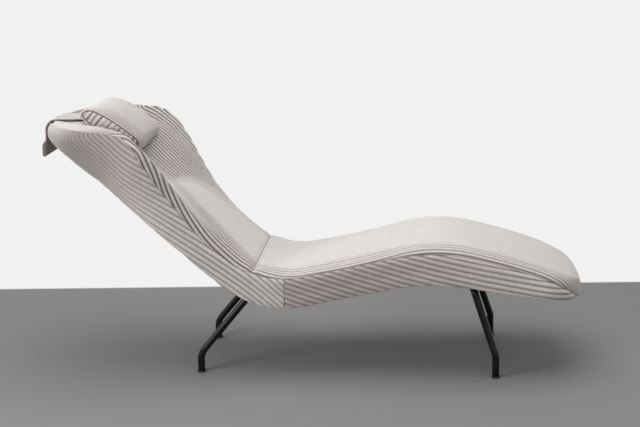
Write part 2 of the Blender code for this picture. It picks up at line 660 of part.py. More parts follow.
def bolt_holes(shop):
    """One cutter with a hole for each leg bolt."""
    bm = bmesh.new()
    for name, s, y in bolt_places():
        a = float(LINE.angle(s))
        axis = Vector((-math.sin(a), 0, math.cos(a)))
        middle = Vector(LINE.place(s, y, 0.0085))
        turn = axis.to_track_quat("Z", "Y").to_matrix().to_4x4()
        bmesh.ops.create_cone(bm, cap_ends=True, segments=12, radius1=BOLT_RADIUS + GAP,
                              radius2=BOLT_RADIUS + GAP, depth=0.041,
                              matrix=Matrix.Translation(middle) @ turn)
    mesh = bpy.data.meshes.new("bolt_holes")
    bm.to_mesh(mesh)
    bm.free()
    obj = bpy.data.objects.new("bolt_holes", mesh)
    bpy.context.scene.collection.objects.link(obj)
    obj.hide_render = True
    obj.display_type = "WIRE"
    return obj


def bent_path(foot, bend, top, radius, steps=6):
    """Centre line of a leg: upright from the foot, one bend, then straight to the top."""
    corner = np.array([foot[0], foot[1], bend])
    up = np.array([0.0, 0.0, 1.0])
    slant = (top - corner) / np.linalg.norm(top - corner)
    half = math.acos(float(up @ slant)) / 2
    back = radius * math.tan(half)
    toward = (slant - up) / np.linalg.norm(slant - up)
    centre = corner + toward * radius / math.cos(half)
    first = corner - up * back - centre
    last = corner + slant * back - centre
    turn = np.linspace(0, 1, steps)[:, None] * 2 * half
    arc = centre + (np.sin(2 * half - turn) * first + np.sin(turn) * last) / math.sin(2 * half)
    return np.concatenate([[[foot[0], foot[1], GLIDE_HEIGHT]], arc, [top]]), np.cross(up, slant)


def legs(shop, root, bolts):
    """Four bent tube legs, each with its plate, bolts and floor glide."""
    kinds = (("rear", REAR_FOOT, REAR_BEND, REAR_TOP_S, REAR_BEND_RADIUS, REAR_TOP_Y),
             ("front", FRONT_FOOT, FRONT_BEND, FRONT_TOP_S, FRONT_BEND_RADIUS, FRONT_TOP_Y))
    for end, foot, bend, s, radius, top_y in kinds:
        for word, side in (("left", -1), ("right", 1)):
            a = float(LINE.angle(s))
            normal = np.array([-math.sin(a), 0.0, math.cos(a)])
            face = LINE.place(s, top_y * side, -GAP - PLATE_THICK - GAP)
            path, across = bent_path((foot[0], foot[1] * side), bend, face, radius)
            shop.use(root, ("leg_paint", BLACK, 0.35))
            shop.tube("%s_leg_%s" % (end, word), path, across, face, normal)
            middle = top_y * side
            plate = shop.slab("%s_leg_plate_%s" % (end, word), (s - PLATE_LENGTH / 2, s + PLATE_LENGTH / 2),
                              -GAP - PLATE_THICK, -GAP, middle - 0.022, middle + 0.022, 5)
            cut(plate, bolts)
            shop.use(root, ("glide_plastic", BLACK, 0.6))
            bore = TUBE_BORE - GAP
            profile = [(0.0, GLIDE_RADIUS - 0.0015), (0.0015, GLIDE_RADIUS), (0.0045, GLIDE_RADIUS),
                       (GLIDE_HEIGHT - GAP, TUBE_RADIUS), (GLIDE_HEIGHT - GAP, bore), (0.024, bore)]
            shop.turned("%s_glide_%s" % (end, word), (foot[0], foot[1] * side, 0.0), (0, 0, 1), profile)
    shop.use(root, ("bolt_steel", STEEL, 0.35, 1.0))
    for name, s, y in bolt_places():
        a = float(LINE.angle(s))
        axis = (-math.sin(a), 0, math.cos(a))
        low = -GAP - PLATE_THICK - GAP
        profile = [(0, 0.0035), (0.0012, 0.0060), (0.0036, 0.0060), (0.0036, BOLT_RADIUS),
                   (0.0340, BOLT_RADIUS)]
        shop.turned(name, LINE.place(s, y, low - 0.0036), axis, profile, 12)


class SlidePlane:
    """The straight floor of the dish that the pillow slides on."""

    def __init__(self):
        a = -BACK_ANGLE + math.atan(FLOOR_SLOPE)
        self.along = unit(a)
        self.out = unit(a + math.pi / 2)
        start = LINE.place(PILLOW_S, 0.0, FLOOR_AT_ZERO + FLOOR_SLOPE * PILLOW_S)
        self.start = start[[0, 2]]

    def place(self, a, y, c):
        """World points from a along the slope, y across it and c above its floor."""
        a, y, c = np.broadcast_arrays(np.asarray(a, float), np.asarray(y, float), np.asarray(c, float))
        xz = self.start + a[..., None] * self.along + c[..., None] * self.out
        return np.stack([xz[..., 0], y, xz[..., 1]], -1)


SLOPE = SlidePlane()


def pillow_ring(steps=24):
    """Outline of the pillow's section, as places along the slope and above its floor."""
    keys = np.array([[0.028, 0.0088], [0.004, 0.0145], [-0.004, 0.025], [-0.005, 0.038], [0.003, 0.0535],
                     [0.018, 0.0650], [0.038, 0.0710], [0.063, 0.0755], [0.092, 0.0785], [0.122, 0.0805],
                     [0.152, 0.0812], [0.175, 0.0800], [0.193, 0.0715], [0.204, 0.053], [0.2075, 0.030],
                     [0.203, 0.011], [0.188, 0.0024], [0.145, 0.0012], [0.100, 0.0010], [0.058, 0.0022]])
    n = len(keys)
    t = np.arange(steps) * n / steps
    i = t.astype(int)
    f = (t - i)[:, None]
    p0, p1, p2, p3 = (keys[(i + k) % n] for k in (-1, 0, 1, 2))
    return 0.5 * (2 * p1 + (p2 - p0) * f + (2 * p0 - 5 * p1 + 4 * p2 - p3) * f ** 2
                  + (3 * p1 - p0 - 3 * p2 + p3) * f ** 3)


def dish_wall(a, y):
    """Height of the dish above the slide's floor, at its highest on the way that a place of the pillow slides."""
    heights = []
    for step in np.linspace(0, PILLOW_TRAVEL + PILLOW_SPARE, 5):
        s = PILLOW_S + np.asarray(a) + step
        v = np.clip(np.abs(y) / levels(s)["ridge"], 0, 1)
        heights.append(top_section(s, v)[1] - FLOOR_AT_ZERO - FLOOR_SLOPE * s)
    return np.clip(np.max(heights, axis=0), 0, None)


def pillow_rings(inset):
    """Rings of the pillow across its width: crowned, hollowed to the dish below and drawn in towards both ends."""
    ring = pillow_ring()
    middle = np.array([0.102, 0.036])
    ys = np.array([-1.0, -0.985, -0.93, -0.80, -0.45, 0.0, 0.45, 0.80, 0.93, 0.985,
                   1.0]) * (PILLOW_HALF - inset)
    shrink = np.array([0.96, 0.985, 0.992, 0.996, 1.0, 1.0, 1.0, 0.996, 0.992, 0.985, 0.96])
    rings = []
    for y, k in zip(ys, shrink):
        flat = middle + (ring - middle) * np.array([k, k])
        flat[:, 1] += 0.036 * (1 - k)
        head = np.clip((0.075 - flat[:, 0]) / 0.09, 0, 1)
        head = head * head * (3 - 2 * head)
        foot = np.clip((flat[:, 0] - 0.165) / 0.045, 0, 1)
        narrow = 1 - PILLOW_TAPER * head - 0.03 * foot * foot
        share = np.clip(flat[:, 1] / PILLOW_TOP, 0, 1)
        crown = PILLOW_CROWN * (1 - (y / PILLOW_HALF) ** 2) * (1 - head)
        sag = PILLOW_SAG * (1 - (y / PILLOW_HALF) ** 2) + PILLOW_DROOP * max(y / PILLOW_HALF, 0)
        droop = sag * head * np.clip(flat[:, 1] / 0.05, 0, 1)
        flat[:, 1] += dish_wall(flat[:, 0], y * narrow) * (1 - share) + crown * share - droop
        ahead = np.roll(flat, -1, 0) - np.roll(flat, 1, 0)
        out = np.stack([-ahead[:, 1], ahead[:, 0]], -1)
        out /= np.linalg.norm(out, axis=1, keepdims=True)
        flat = flat - out * inset
        rings.append(SLOPE.place(flat[:, 0], y * narrow, flat[:, 1]))
    return np.array(rings)


def pillow_faces(n, m):
    """Faces round the rings, and strips from top to bottom across the two ends."""
    at = np.arange(n * m).reshape(n, m)
    right = np.roll(at, -1, 1)
    around = np.stack([at[:-1], right[:-1], right[1:], at[1:]], -1)
    top = (3 + np.arange(m // 2)) % m
    low = (2 - np.arange(m // 2)) % m
    across = np.stack([top[:-1], top[1:], low[1:], low[:-1]], -1)
    return around, at[0][across].tolist() + at[-1][across].tolist()


def pillow(shop, holder):
    """The head pillow: a filled core in a zipped cover, with the strap end sewn on."""
    shop.use(holder, ("cover_fabric", FABRIC, 0.95))
    rings = pillow_rings(0.0)
    around, ends = pillow_faces(*rings.shape[:2])
    low = int(np.argmin(np.abs(pillow_ring()[:, 0] - 0.11) + pillow_ring()[:, 1] * 100))
    zipped = np.zeros(around.shape[:2], bool)
    zipped[4:6, low] = True
    cover = shop.piece("pillow_cover", rings.reshape(-1, 3).tolist(), around[~zipped].tolist() + ends)
    skin = cover.modifiers.new("cloth", "SOLIDIFY")
    skin.thickness = PILLOW_CLOTH
    skin.offset = -1.0
    skin.use_even_offset = True
    shop.use(holder, ("fibre_fill", (0.85, 0.84, 0.80), 0.95))
    rings = pillow_rings(PILLOW_CLOTH + 0.0022)
    shop.piece("pillow_core", rings.reshape(-1, 3).tolist(), around.reshape(-1, 4).tolist() + ends)


def strap_path():
    """Centre line of the strap from under the pillow, over the head end and down behind it."""
    s = np.array([0.050, 0.036, 0.020])
    h = levels(s)["h_centre"] + 0.0024 + STRAP_THICK / 2
    level = LINE.place(s, 0.0, h)[:, [0, 2]]
    centre = np.array([STRAP_BEND_X, level[-1, 1] + 0.0005 - STRAP_BEND_RADIUS])
    turn = np.linspace(0, math.pi / 2, 8)
    arc = centre + STRAP_BEND_RADIUS * np.stack([-np.sin(turn), np.cos(turn)], -1)
    return level, arc, STRAP_BEND_X - STRAP_BEND_RADIUS


def strip(name, shop, line, half, thick):
    """A flat strap along a line in the side view."""
    line = np.asarray(line, float)
    ahead = np.gradient(line, axis=0)
    ahead /= np.linalg.norm(ahead, axis=1, keepdims=True)
    out = np.stack([-ahead[:, 1], ahead[:, 0]], -1) * thick / 2
    corners = [(line - out, -half), (line + out, -half), (line + out, half), (line - out, half)]
    rings = np.stack([np.stack([p[:, 0], np.full(len(p), y), p[:, 1]], -1) for p, y in corners], 1)
    return shop.loft(name, rings)


def strap(shop, root, holder, carrier):
    """The strap in three lengths and the weight bar folded into its hem."""
    level, arc, back_x = strap_path()
    shop.use(root, ("cover_fabric", FABRIC, 0.95))
    tail = np.array([[back_x, STRAP_TAIL + 0.018], [back_x, STRAP_TAIL]])
    strip("strap_bridge", shop, np.concatenate([level, arc, tail]), STRAP_HALF, STRAP_THICK)
    shop.use(holder, ("cover_fabric", FABRIC, 0.95))
    tab = SLOPE.place(np.array([0.032, 0.010]), 0.0, np.array([0.0052, 0.0068]))[:, [0, 2]]
    strip("strap_end", shop, tab, STRAP_HALF - 0.001, 0.004)

    shop.use(carrier, ("cover_fabric", FABRIC, 0.95))
    inner = back_x - STRAP_THICK / 2 - 0.0005
    cloth = 0.003
    fold = cloth + BAR_THICK + 2 * GAP
    hem = FLAP_BOTTOM + cloth + BAR_HEIGHT + 2 * GAP + 0.004
    outline = [(inner - cloth, FLAP_TOP), (inner, FLAP_TOP), (inner, FLAP_BOTTOM),
               (inner - fold - cloth, FLAP_BOTTOM),
               (inner - fold - cloth, hem), (inner - fold, hem), (inner - fold, FLAP_BOTTOM + cloth),
               (inner - cloth, FLAP_BOTTOM + cloth)]
    rings = [[(x, y, z) for x, z in outline] for y in (-STRAP_HALF, STRAP_HALF)]
    shop.loft("strap_flap", rings, smooth=False)
    shop.use(carrier, ("bar_steel", STEEL, 0.35, 1.0))
    x0 = inner - cloth - GAP
    z0 = FLAP_BOTTOM + cloth + GAP
    box = [(x0, z0), (x0 - BAR_THICK, z0), (x0 - BAR_THICK, z0 + BAR_HEIGHT), (x0, z0 + BAR_HEIGHT)]
    rings = [[(x, y, z) for x, z in box] for y in (0.004 - STRAP_HALF, STRAP_HALF - 0.004)]
    shop.loft("counterweight_bar", rings, smooth=False)


def axis_empty(name, place, root):
    """An empty on a joint's axis that carries the pieces of a moving body."""
    obj = bpy.data.objects.new(name, None)
    obj.empty_display_size = 0.05
    obj.location = place
    obj.parent = root
    bpy.context.scene.collection.objects.link(obj)
    return obj


def main():
    for obj in list(bpy.data.objects):
        bpy.data.objects.remove(obj, do_unlink=True)
    shop = Workshop()
    root = axis_empty("chaise", (0, 0, 0), None)
    holder = axis_empty("pillow_slide_axis", Vector(SLOPE.place(0.1, 0.0, 0.04)), root)
    back_x = strap_path()[2]
    carrier = axis_empty("flap_slide_axis", Vector((back_x, 0.0, FLAP_BOTTOM)), root)
    bolts = bolt_holes(shop)
    frame(shop, root, bolts)
    padding(shop, root)
    covers(shop, root, bolts)
    legs(shop, root, bolts)
    pillow(shop, holder)
    strap(shop, root, holder, carrier)


main()
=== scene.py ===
"""Dressed model of an upholstered chaise longue with a sliding head pillow.

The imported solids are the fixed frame. Each soft solid is replaced by a sewn piece of wide-ribbed
cloth that is worked out on a grid of places on the shell: a place along the shell, called s, and
a place across it. Heights above the underside, square to it, are called h. Lengths are metres,
+X runs from the head to the foot, -Y is the near side and +Z is up.
"""

import logging
import math
from collections.abc import Callable
from dataclasses import dataclass, field, replace
from enum import Enum

import bmesh
import bpy
import numpy as np
from mathutils import Matrix


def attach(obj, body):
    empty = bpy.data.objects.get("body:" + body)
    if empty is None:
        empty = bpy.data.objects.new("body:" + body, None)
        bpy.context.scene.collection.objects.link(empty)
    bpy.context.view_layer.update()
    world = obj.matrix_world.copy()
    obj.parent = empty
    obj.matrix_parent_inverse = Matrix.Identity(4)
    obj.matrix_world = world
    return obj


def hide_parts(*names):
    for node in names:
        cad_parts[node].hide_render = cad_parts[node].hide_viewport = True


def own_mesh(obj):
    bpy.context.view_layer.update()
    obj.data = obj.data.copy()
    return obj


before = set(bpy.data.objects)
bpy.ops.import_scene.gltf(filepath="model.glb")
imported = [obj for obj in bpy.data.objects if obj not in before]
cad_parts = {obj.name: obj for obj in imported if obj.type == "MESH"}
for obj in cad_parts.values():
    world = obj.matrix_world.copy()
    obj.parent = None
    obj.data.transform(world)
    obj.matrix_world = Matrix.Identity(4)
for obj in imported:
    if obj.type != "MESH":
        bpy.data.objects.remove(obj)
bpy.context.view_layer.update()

LOG = logging.getLogger("chaise")

Array = np.ndarray
Pairs = tuple[tuple[float, float], ...]
Colour = tuple[float, float, float]
Piece = bpy.types.Object
Socket = bpy.types.NodeSocket
Surface = Callable[[Array, Array], Array]


class Body(str, Enum):
    """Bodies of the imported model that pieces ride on."""

    CHAISE = "chaise"
    PILLOW = "head_pillow"
    WEIGHT = "counterweight"


class Hand(Enum):
    """The two sides of the chaise, as the sign of y."""

    LEFT = -1
    RIGHT = 1

    @property
    def word(self) -> str:
        """The side's word in node names."""
        return self.name.lower()


def eased(t: Array) -> Array:
    """Soft step from 0 to 1: three t squared less two t cubed, with t held between 0 and 1."""
    t = np.clip(t, 0, 1)
    return t * t * (3 - 2 * t)


def ramp(x: Array, rounding: Array) -> Array:
    """A straight rise from 0 on with a rounded start: half of x plus the root of the two squares' sum."""
    return (np.sqrt(x * x + rounding ** 2) + x) / 2


def end_round(distance: Array, depth: float, power: float) -> Array:
    """Factor from 0 at an end to 1 at a depth in from it: a quarter of a superellipse.

    Args:
        distance: distance from the end.
        depth: distance at which the factor reaches 1.
        power: power of the superellipse.

    Returns:
        The factor for each distance.
    """
    t = np.clip(1 - distance / depth, 0, 1)
    return (1 - t ** power) ** (1 / power)


@dataclass(frozen=True)
class Zone:
    """A place at which something starts or stops, and the length over which it does so softly."""

    at: float
    over: float

    def after(self, place: Array) -> Array:
        """Soft step from 0 at the place to 1 a length after it."""
        return eased((place - self.at) / self.over)

    def before(self, place: Array) -> Array:
        """Soft step from 1 a length before the place to 0 at it."""
        return eased((self.at - place) / self.over)


def unit(angle: float) -> Array:
    """Direction in the side view at an angle above +X."""
    return np.array([math.cos(angle), math.sin(angle)])


def mirrored(points: Array, hand: Hand) -> Array:
    """Points with y turned to the named side."""
    return points * np.array([1.0, float(hand.value), 1.0])


@dataclass(frozen=True)
class Curve:
    """A smooth curve through pairs of place and value that never overshoots them."""

    pairs: Pairs

    def at(self, place: Array) -> Array:
        """Value at each place: cubic pieces whose slopes are the mean of the neighbouring chords, limited
        to three times the flatter chord and level where the chords change sign.

        Args:
            place: places along the curve.

        Returns:
            The values there.
        """
        xs, ys = np.array(self.pairs).T
        place = np.clip(np.asarray(place, float), xs[0], xs[-1])
        step = np.diff(xs)
        chord = np.diff(ys) / step
        slope = np.concatenate([[chord[0]], (chord[:-1] + chord[1:]) / 2, [chord[-1]]])
        slope[1:-1][chord[:-1] * chord[1:] <= 0] = 0.0
        after, before = np.append(chord, chord[-1]), np.insert(chord, 0, chord[0])
        limit = 3 * np.minimum(np.abs(after), np.abs(before))
        slope = np.sign(slope) * np.minimum(np.abs(slope), limit)
        i = np.clip(np.searchsorted(xs, place) - 1, 0, len(step) - 1)
        t = (place - xs[i]) / step[i]
        ends = ys[i] * (1 + 2 * t) * (1 - t) ** 2 + ys[i + 1] * t * t * (3 - 2 * t)
        return ends + step[i] * (slope[i] * t * (1 - t) ** 2 + slope[i + 1] * t * t * (t - 1))


@dataclass
class Underside:
    """The underside seen from the side: three straights joined by two arcs."""

    back_angle: float = math.radians(42.2)
    thigh_angle: float = math.radians(11.3)
    calf_angle: float = math.radians(8.06)
    hip: tuple[float, float] = (-0.162, 0.198)
    thigh_length: float = 0.541
    back_length: float = 0.853
    calf_length: float = 0.485
    hip_radius: float = 0.32
    knee_radius: float = 0.55

    def __post_init__(self) -> None:
        """Work out where the straights and the arcs meet."""
        hip_turn = self.back_angle + self.thigh_angle
        knee_turn = self.thigh_angle + self.calf_angle
        hip_tan = self.hip_radius * math.tan(hip_turn / 2)
        knee_tan = self.knee_radius * math.tan(knee_turn / 2)
        self.s1 = self.back_length - hip_tan
        self.s2 = self.s1 + self.hip_radius * hip_turn
        self.s3 = self.s2 + self.thigh_length - hip_tan - knee_tan
        self.s4 = self.s3 + self.knee_radius * knee_turn
        self.end = self.s4 + self.calf_length - knee_tan
        self.head = np.array(self.hip) - unit(-self.back_angle) * self.back_length
        self.p1 = self.head + unit(-self.back_angle) * self.s1
        self.c1 = self.p1 + unit(math.pi / 2 - self.back_angle) * self.hip_radius
        self.p2 = self.c1 - unit(math.pi / 2 + self.thigh_angle) * self.hip_radius
        self.p3 = self.p2 + unit(self.thigh_angle) * (self.s3 - self.s2)
        self.c2 = self.p3 - unit(math.pi / 2 + self.thigh_angle) * self.knee_radius
        self.p4 = self.c2 + unit(math.pi / 2 - self.calf_angle) * self.knee_radius

    def angle(self, s: Array) -> Array:
        """Slope angle of the underside at s: it turns by arc length over radius in the two bends."""
        hip = np.clip((s - self.s1) / self.hip_radius, 0, self.back_angle + self.thigh_angle)
        knee = np.clip((s - self.s3) / self.knee_radius, 0, self.thigh_angle + self.calf_angle)
        return -self.back_angle + hip - knee

    def point(self, s: Array) -> Array:
        """Points of the underside at s, as x and z: on the straights a start plus a direction times the
        length since it, on the arcs the centre plus or less the radius times the normal."""
        angle = self.angle(s)
        normal = np.stack([-np.sin(angle), np.cos(angle)], -1)
        far = s[..., None]
        back = self.head + far * unit(-self.back_angle)
        out = np.where(far <= self.s1, back, self.c1 - self.hip_radius * normal)
        out = np.where(far > self.s2, self.p2 + (far - self.s2) * unit(self.thigh_angle), out)
        out = np.where(far > self.s3, self.c2 + self.knee_radius * normal, out)
        return np.where(far > self.s4, self.p4 + (far - self.s4) * unit(-self.calf_angle), out)

    def place(self, s: Array, y: Array, h: Array) -> Array:
        """World points for places s, y, h: the underside's point plus h along its normal, at y.

        Args:
            s: places along the underside.
            y: places across.
            h: heights square to the underside.

        Returns:
            Points, with x, y and z in the last axis.
        """
        s, y, h = np.broadcast_arrays(*(np.asarray(k, float) for k in (s, y, h)))
        angle = self.angle(s)
        point = self.point(s)
        return np.stack([point[..., 0] - np.sin(angle) * h, y, point[..., 1] + np.cos(angle) * h], -1)


@dataclass(frozen=True)
class Section:
    """Half widths and heights of the shell's section at places along it."""

    base: Array
    seam: Array
    ridge: Array
    dish: Array
    bulge: Array
    h_base: Array
    h_bulge: Array
    h_seam: Array
    h_ridge: Array
    h_centre: Array


@dataclass
class Shell:
    """The padded shell as surfaces over s: a dished top, two sides and a rear."""

    line: Underside = field(default_factory=Underside)
    head: float = -0.024
    crease: float = 0.777
    side_seam: float = 0.922
    foot_tip: float = 1.815
    head_lip: float = -0.020
    crease_depth: float = 0.005
    crease_width: float = 0.016
    head_round: float = 0.11
    head_power: float = 2.5
    head_ridge_round: float = 0.24
    head_nose: float = 0.036
    head_top_nose: float = 0.070
    foot_round: float = 0.14
    foot_power: float = 2.4
    foot_ridge_round: float = 0.20
    foot_nose: float = 0.055
    ridge_power: float = 2.2
    nose_power: float = 2.0
    tip_length: float = 0.10
    tip_spare: float = 0.004
    ridge_inside: float = 0.985
    ridge_above: float = 0.0005
    dish_inside: float = 0.93
    base_half: Curve = Curve((
        (-0.02, 0.160), (0.12, 0.150), (0.22, 0.165), (0.32, 0.205), (0.42, 0.236), (0.50, 0.246),
        (0.55, 0.246), (0.70, 0.240), (0.85, 0.240), (1.00, 0.236), (1.12, 0.232), (1.25, 0.236),
        (1.37, 0.246), (1.50, 0.250), (1.86, 0.250)))
    seam_half: Curve = Curve((
        (-0.02, 0.262), (0.12, 0.285), (0.25, 0.325), (0.33, 0.309), (0.40, 0.288), (0.55, 0.262),
        (0.70, 0.254), (0.85, 0.248), (1.00, 0.241), (1.12, 0.236), (1.25, 0.240), (1.37, 0.249),
        (1.50, 0.252), (1.86, 0.250)))
    ridge_half: Curve = Curve((
        (-0.02, 0.258), (0.12, 0.272), (0.20, 0.307), (0.25, 0.315), (0.33, 0.295), (0.40, 0.273),
        (0.485, 0.252), (0.55, 0.240), (0.66, 0.228), (0.757, 0.228), (0.85, 0.220), (0.92, 0.214),
        (1.00, 0.208), (1.12, 0.203), (1.20, 0.206), (1.28, 0.214), (1.37, 0.220), (1.50, 0.222),
        (1.86, 0.222)))
    dish_half: Curve = Curve((
        (-0.02, 0.188), (0.06, 0.188), (0.12, 0.175), (0.17, 0.140), (0.21, 0.090), (0.26, 0.024),
        (1.86, 0.024)))
    dish_round: float = 0.020
    dish_soft: float = 0.3
    valley_height: Curve = Curve(((0.34, 0.082), (0.42, 0.083), (0.50, 0.085), (0.62, 0.089)))
    lumbar: bool = True
    lumbar_start: Zone = Zone(0.35, 0.03)
    lumbar_end: Zone = Zone(0.62, 0.10)
    lumbar_fall: float = 0.012
    lumbar_blend: float = 0.004
    base_drop: Curve = Curve((
        (-0.02, 0.032), (0.12, 0.0322), (0.22, 0.022), (0.32, 0.0123), (0.42, 0.0045), (0.50, 0.0),
        (1.86, 0.0)))
    rear_bulge: Curve = Curve((
        (-0.02, 0.012), (0.12, 0.012), (0.22, 0.010), (0.35, 0.004), (0.47, 0.0), (1.86, 0.0)))
    side_bulge: Curve = Curve((
        (-0.02, 0.024), (0.12, 0.034), (0.25, 0.033), (0.36, 0.020), (0.50, 0.008), (0.70, 0.004),
        (1.86, 0.004)))
    seam_height: Curve = Curve((
        (-0.02, 0.036), (0.00, 0.041), (0.05, 0.068), (0.10, 0.105), (0.134, 0.132), (0.165, 0.153),
        (0.20, 0.166), (0.235, 0.165), (0.262, 0.155), (0.328, 0.133), (0.377, 0.1175), (0.444, 0.1005),
        (0.521, 0.083), (0.598, 0.073), (0.657, 0.0735), (0.709, 0.077), (0.757, 0.083), (0.84, 0.088),
        (0.92, 0.091), (1.10, 0.089), (1.30, 0.093), (1.40, 0.094), (1.50, 0.091), (1.60, 0.079),
        (1.70, 0.061), (1.80, 0.040), (1.86, 0.030)))
    ridge_height: Curve = Curve((
        (-0.02, 0.042), (0.004, 0.0513), (0.03, 0.0645), (0.058, 0.0905), (0.086, 0.1145),
        (0.114, 0.1375), (0.143, 0.156), (0.173, 0.1755), (0.209, 0.1855), (0.249, 0.185), (0.293, 0.176),
        (0.336, 0.166), (0.396, 0.1465), (0.436, 0.135), (0.485, 0.1225), (0.53, 0.1145), (0.597, 0.106),
        (0.658, 0.104), (0.757, 0.106), (0.85, 0.108), (1.00, 0.105), (1.12, 0.104), (1.25, 0.107),
        (1.37, 0.115), (1.46, 0.114), (1.55, 0.106), (1.64, 0.094), (1.72, 0.080), (1.80, 0.062),
        (1.86, 0.050)))
    centre_height: Curve = Curve((
        (-0.02, 0.032), (0.00, 0.035), (0.0185, 0.042), (0.036, 0.0545), (0.05, 0.066), (0.07, 0.0745),
        (0.10, 0.0774), (0.16, 0.0818), (0.22, 0.0855), (0.29, 0.0835), (0.36, 0.0815), (0.378, 0.0820),
        (0.396, 0.0955), (0.42, 0.1060), (0.46, 0.1135), (0.53, 0.1180), (0.60, 0.119), (0.68, 0.117),
        (0.757, 0.115), (0.85, 0.117), (1.00, 0.115), (1.12, 0.114), (1.25, 0.117), (1.37, 0.124),
        (1.46, 0.122), (1.55, 0.113), (1.64, 0.101), (1.72, 0.086), (1.80, 0.068), (1.86, 0.055)))

    def section(self, s: Array) -> Section:
        """The section at s: each table's value, drawn in at the head and the foot by quarter ellipses."""
        s = np.asarray(s, float)
        from_head = np.clip(s - self.head, 0, None)
        from_foot = np.clip(self.line.end - s, 0, None)
        wide = end_round(from_head, self.head_round, self.head_power)
        wide = wide * end_round(from_foot, self.foot_round, self.foot_power)
        edge = end_round(from_head, self.head_ridge_round, self.ridge_power)
        edge = edge * end_round(from_foot, self.foot_ridge_round, self.ridge_power)
        nose = end_round(from_head, self.head_nose, self.nose_power)
        brow = end_round(from_head, self.head_top_nose, self.nose_power)
        tail = end_round(from_foot, self.foot_nose, self.nose_power)
        tip = np.clip((self.foot_tip + self.tip_spare - s) / self.tip_length, 0, 1)

        def lift(table: Curve) -> Array:
            """A height above the head's lip, drawn in at both ends."""
            return (self.head_lip + (table.at(s) - self.head_lip) * brow) * tail

        seam = self.seam_half.at(s) * wide
        ridge = np.minimum(self.ridge_half.at(s) * edge, seam * self.ridge_inside)
        h_seam = lift(self.seam_height) * np.sqrt(tip * (2 - tip))
        return Section(
            base=self.base_half.at(s) * wide,
            seam=seam,
            ridge=ridge,
            dish=np.minimum(self.dish_half.at(s), ridge * self.dish_inside),
            bulge=self.side_bulge.at(s) * wide,
            h_base=self.head_lip * (1 - nose) - self.base_drop.at(s) * nose,
            h_bulge=self.rear_bulge.at(s) * nose,
            h_seam=h_seam,
            h_ridge=np.maximum(lift(self.ridge_height), h_seam + self.ridge_above),
            h_centre=lift(self.centre_height))

    def top_section(self, s: Array, v: Array) -> tuple[Array, Array]:
        """Place across and height on the top; v is 0 in the middle, 1 on the ridge and 2 at the seam.

        Up to the ridge the height rises straight from the dish's valley, or crowns as one less v squared;
        from the ridge to the seam it turns down a quarter ellipse. In the small of the back the valley
        runs on under a low crown, and the higher of the two shows. The crease is a bell-shaped dip in s.

        Args:
            s: places along the shell.
            v: places across it.

        Returns:
            The y and the h of each place.
        """
        q = self.section(s)
        a = np.abs(v)
        t = np.clip(a, 0, 1)
        turn = np.clip(a - 1, 0, 1) * math.pi / 2
        y = q.ridge * t + (q.seam - q.ridge) * np.sin(turn)
        wide = q.ridge - q.dish
        soft = np.minimum(self.dish_round, self.dish_soft * wide)
        low = ramp(-q.dish, soft)
        rise = (ramp(q.ridge * t - q.dish, soft) - low) / np.maximum(ramp(wide, soft) - low, 1e-4)
        dip = np.maximum(q.h_ridge - q.h_centre, 0)
        crown = np.maximum(q.h_centre - q.h_ridge, 0)
        flat = q.h_ridge - dip * (1 - rise) + crown * (1 - t * t)
        under = self.lumbar_start.after(s) * self.lumbar_end.before(s)
        flat = flat * (1 - under) + self.small_of_back(s, t, rise, q) * under
        h = np.where(a <= 1, flat, q.h_seam + (q.h_ridge - q.h_seam) * np.cos(turn))
        fold = self.crease_depth * np.exp(-((s - self.crease) / self.crease_width) ** 2)
        return np.sign(v) * y, h - fold * np.clip(2 - a, 0, 1)

    def small_of_back(self, s: Array, t: Array, rise: Array, q: Section) -> Array:
        """Height in the small of the back: the valley between the wings, or the low crown in it.

        Args:
            s: places along the shell.
            t: places across it, from the middle to the ridge.
            rise: share of the way up from the valley to the ridge.
            q: the section there.

        Returns:
            The smooth larger of the two: half their sum, plus half the root of their difference squared
            and a little.
        """
        valley = q.h_ridge - np.maximum(q.h_ridge - self.valley_height.at(s), 0) * (1 - rise)
        if not self.lumbar:
            return valley
        crown = q.h_centre - (np.maximum(q.h_centre - q.h_ridge, 0) + self.lumbar_fall) * t * t
        return (valley + crown + np.hypot(valley - crown, self.lumbar_blend)) / 2

    def side_section(self, s: Array, u: Array) -> tuple[Array, Array]:
        """Place across and height on the side: a straight from the seam at u 0 to the underside at u 1,
        bulged outwards by half a sine wave."""
        q = self.section(s)
        y = q.seam + (q.base - q.seam) * u + q.bulge * np.sin(math.pi * u)
        return y, q.h_seam + (q.h_base - q.h_seam) * u

    def rear_section(self, s: Array, t: Array) -> tuple[Array, Array]:
        """Place across and height on the rear and underside, t from -1 to 1, bulged by a parabola."""
        q = self.section(s)
        return q.base * t, q.h_base - q.h_bulge * (1 - t * t)

    def top(self, s: Array, v: Array) -> Array:
        """World points on the top."""
        return self.line.place(s, *self.top_section(s, v))

    def side(self, s: Array, u: Array) -> Array:
        """World points on the far side."""
        return self.line.place(s, *self.side_section(s, u))

    def rear(self, s: Array, t: Array) -> Array:
        """World points on the rear and underside."""
        return self.line.place(s, *self.rear_section(s, t))


def outward(surface: Surface, s: Array, w: Array, sign: float = 1.0) -> Array:
    """Unit normals of a surface: the cross product of its central differences along and across.

    Args:
        surface: function from places along and across to points.
        s: places along.
        w: places across.
        sign: 1 or -1, to turn the normals outwards.

    Returns:
        A normal for each place.
    """
    step = 0.0005
    along = surface(s + step, w) - surface(s - step, w)
    across = surface(s, w + step) - surface(s, w - step)
    normal = np.cross(along, across) * sign
    return normal / np.maximum(np.linalg.norm(normal, axis=-1, keepdims=True), 1e-12)


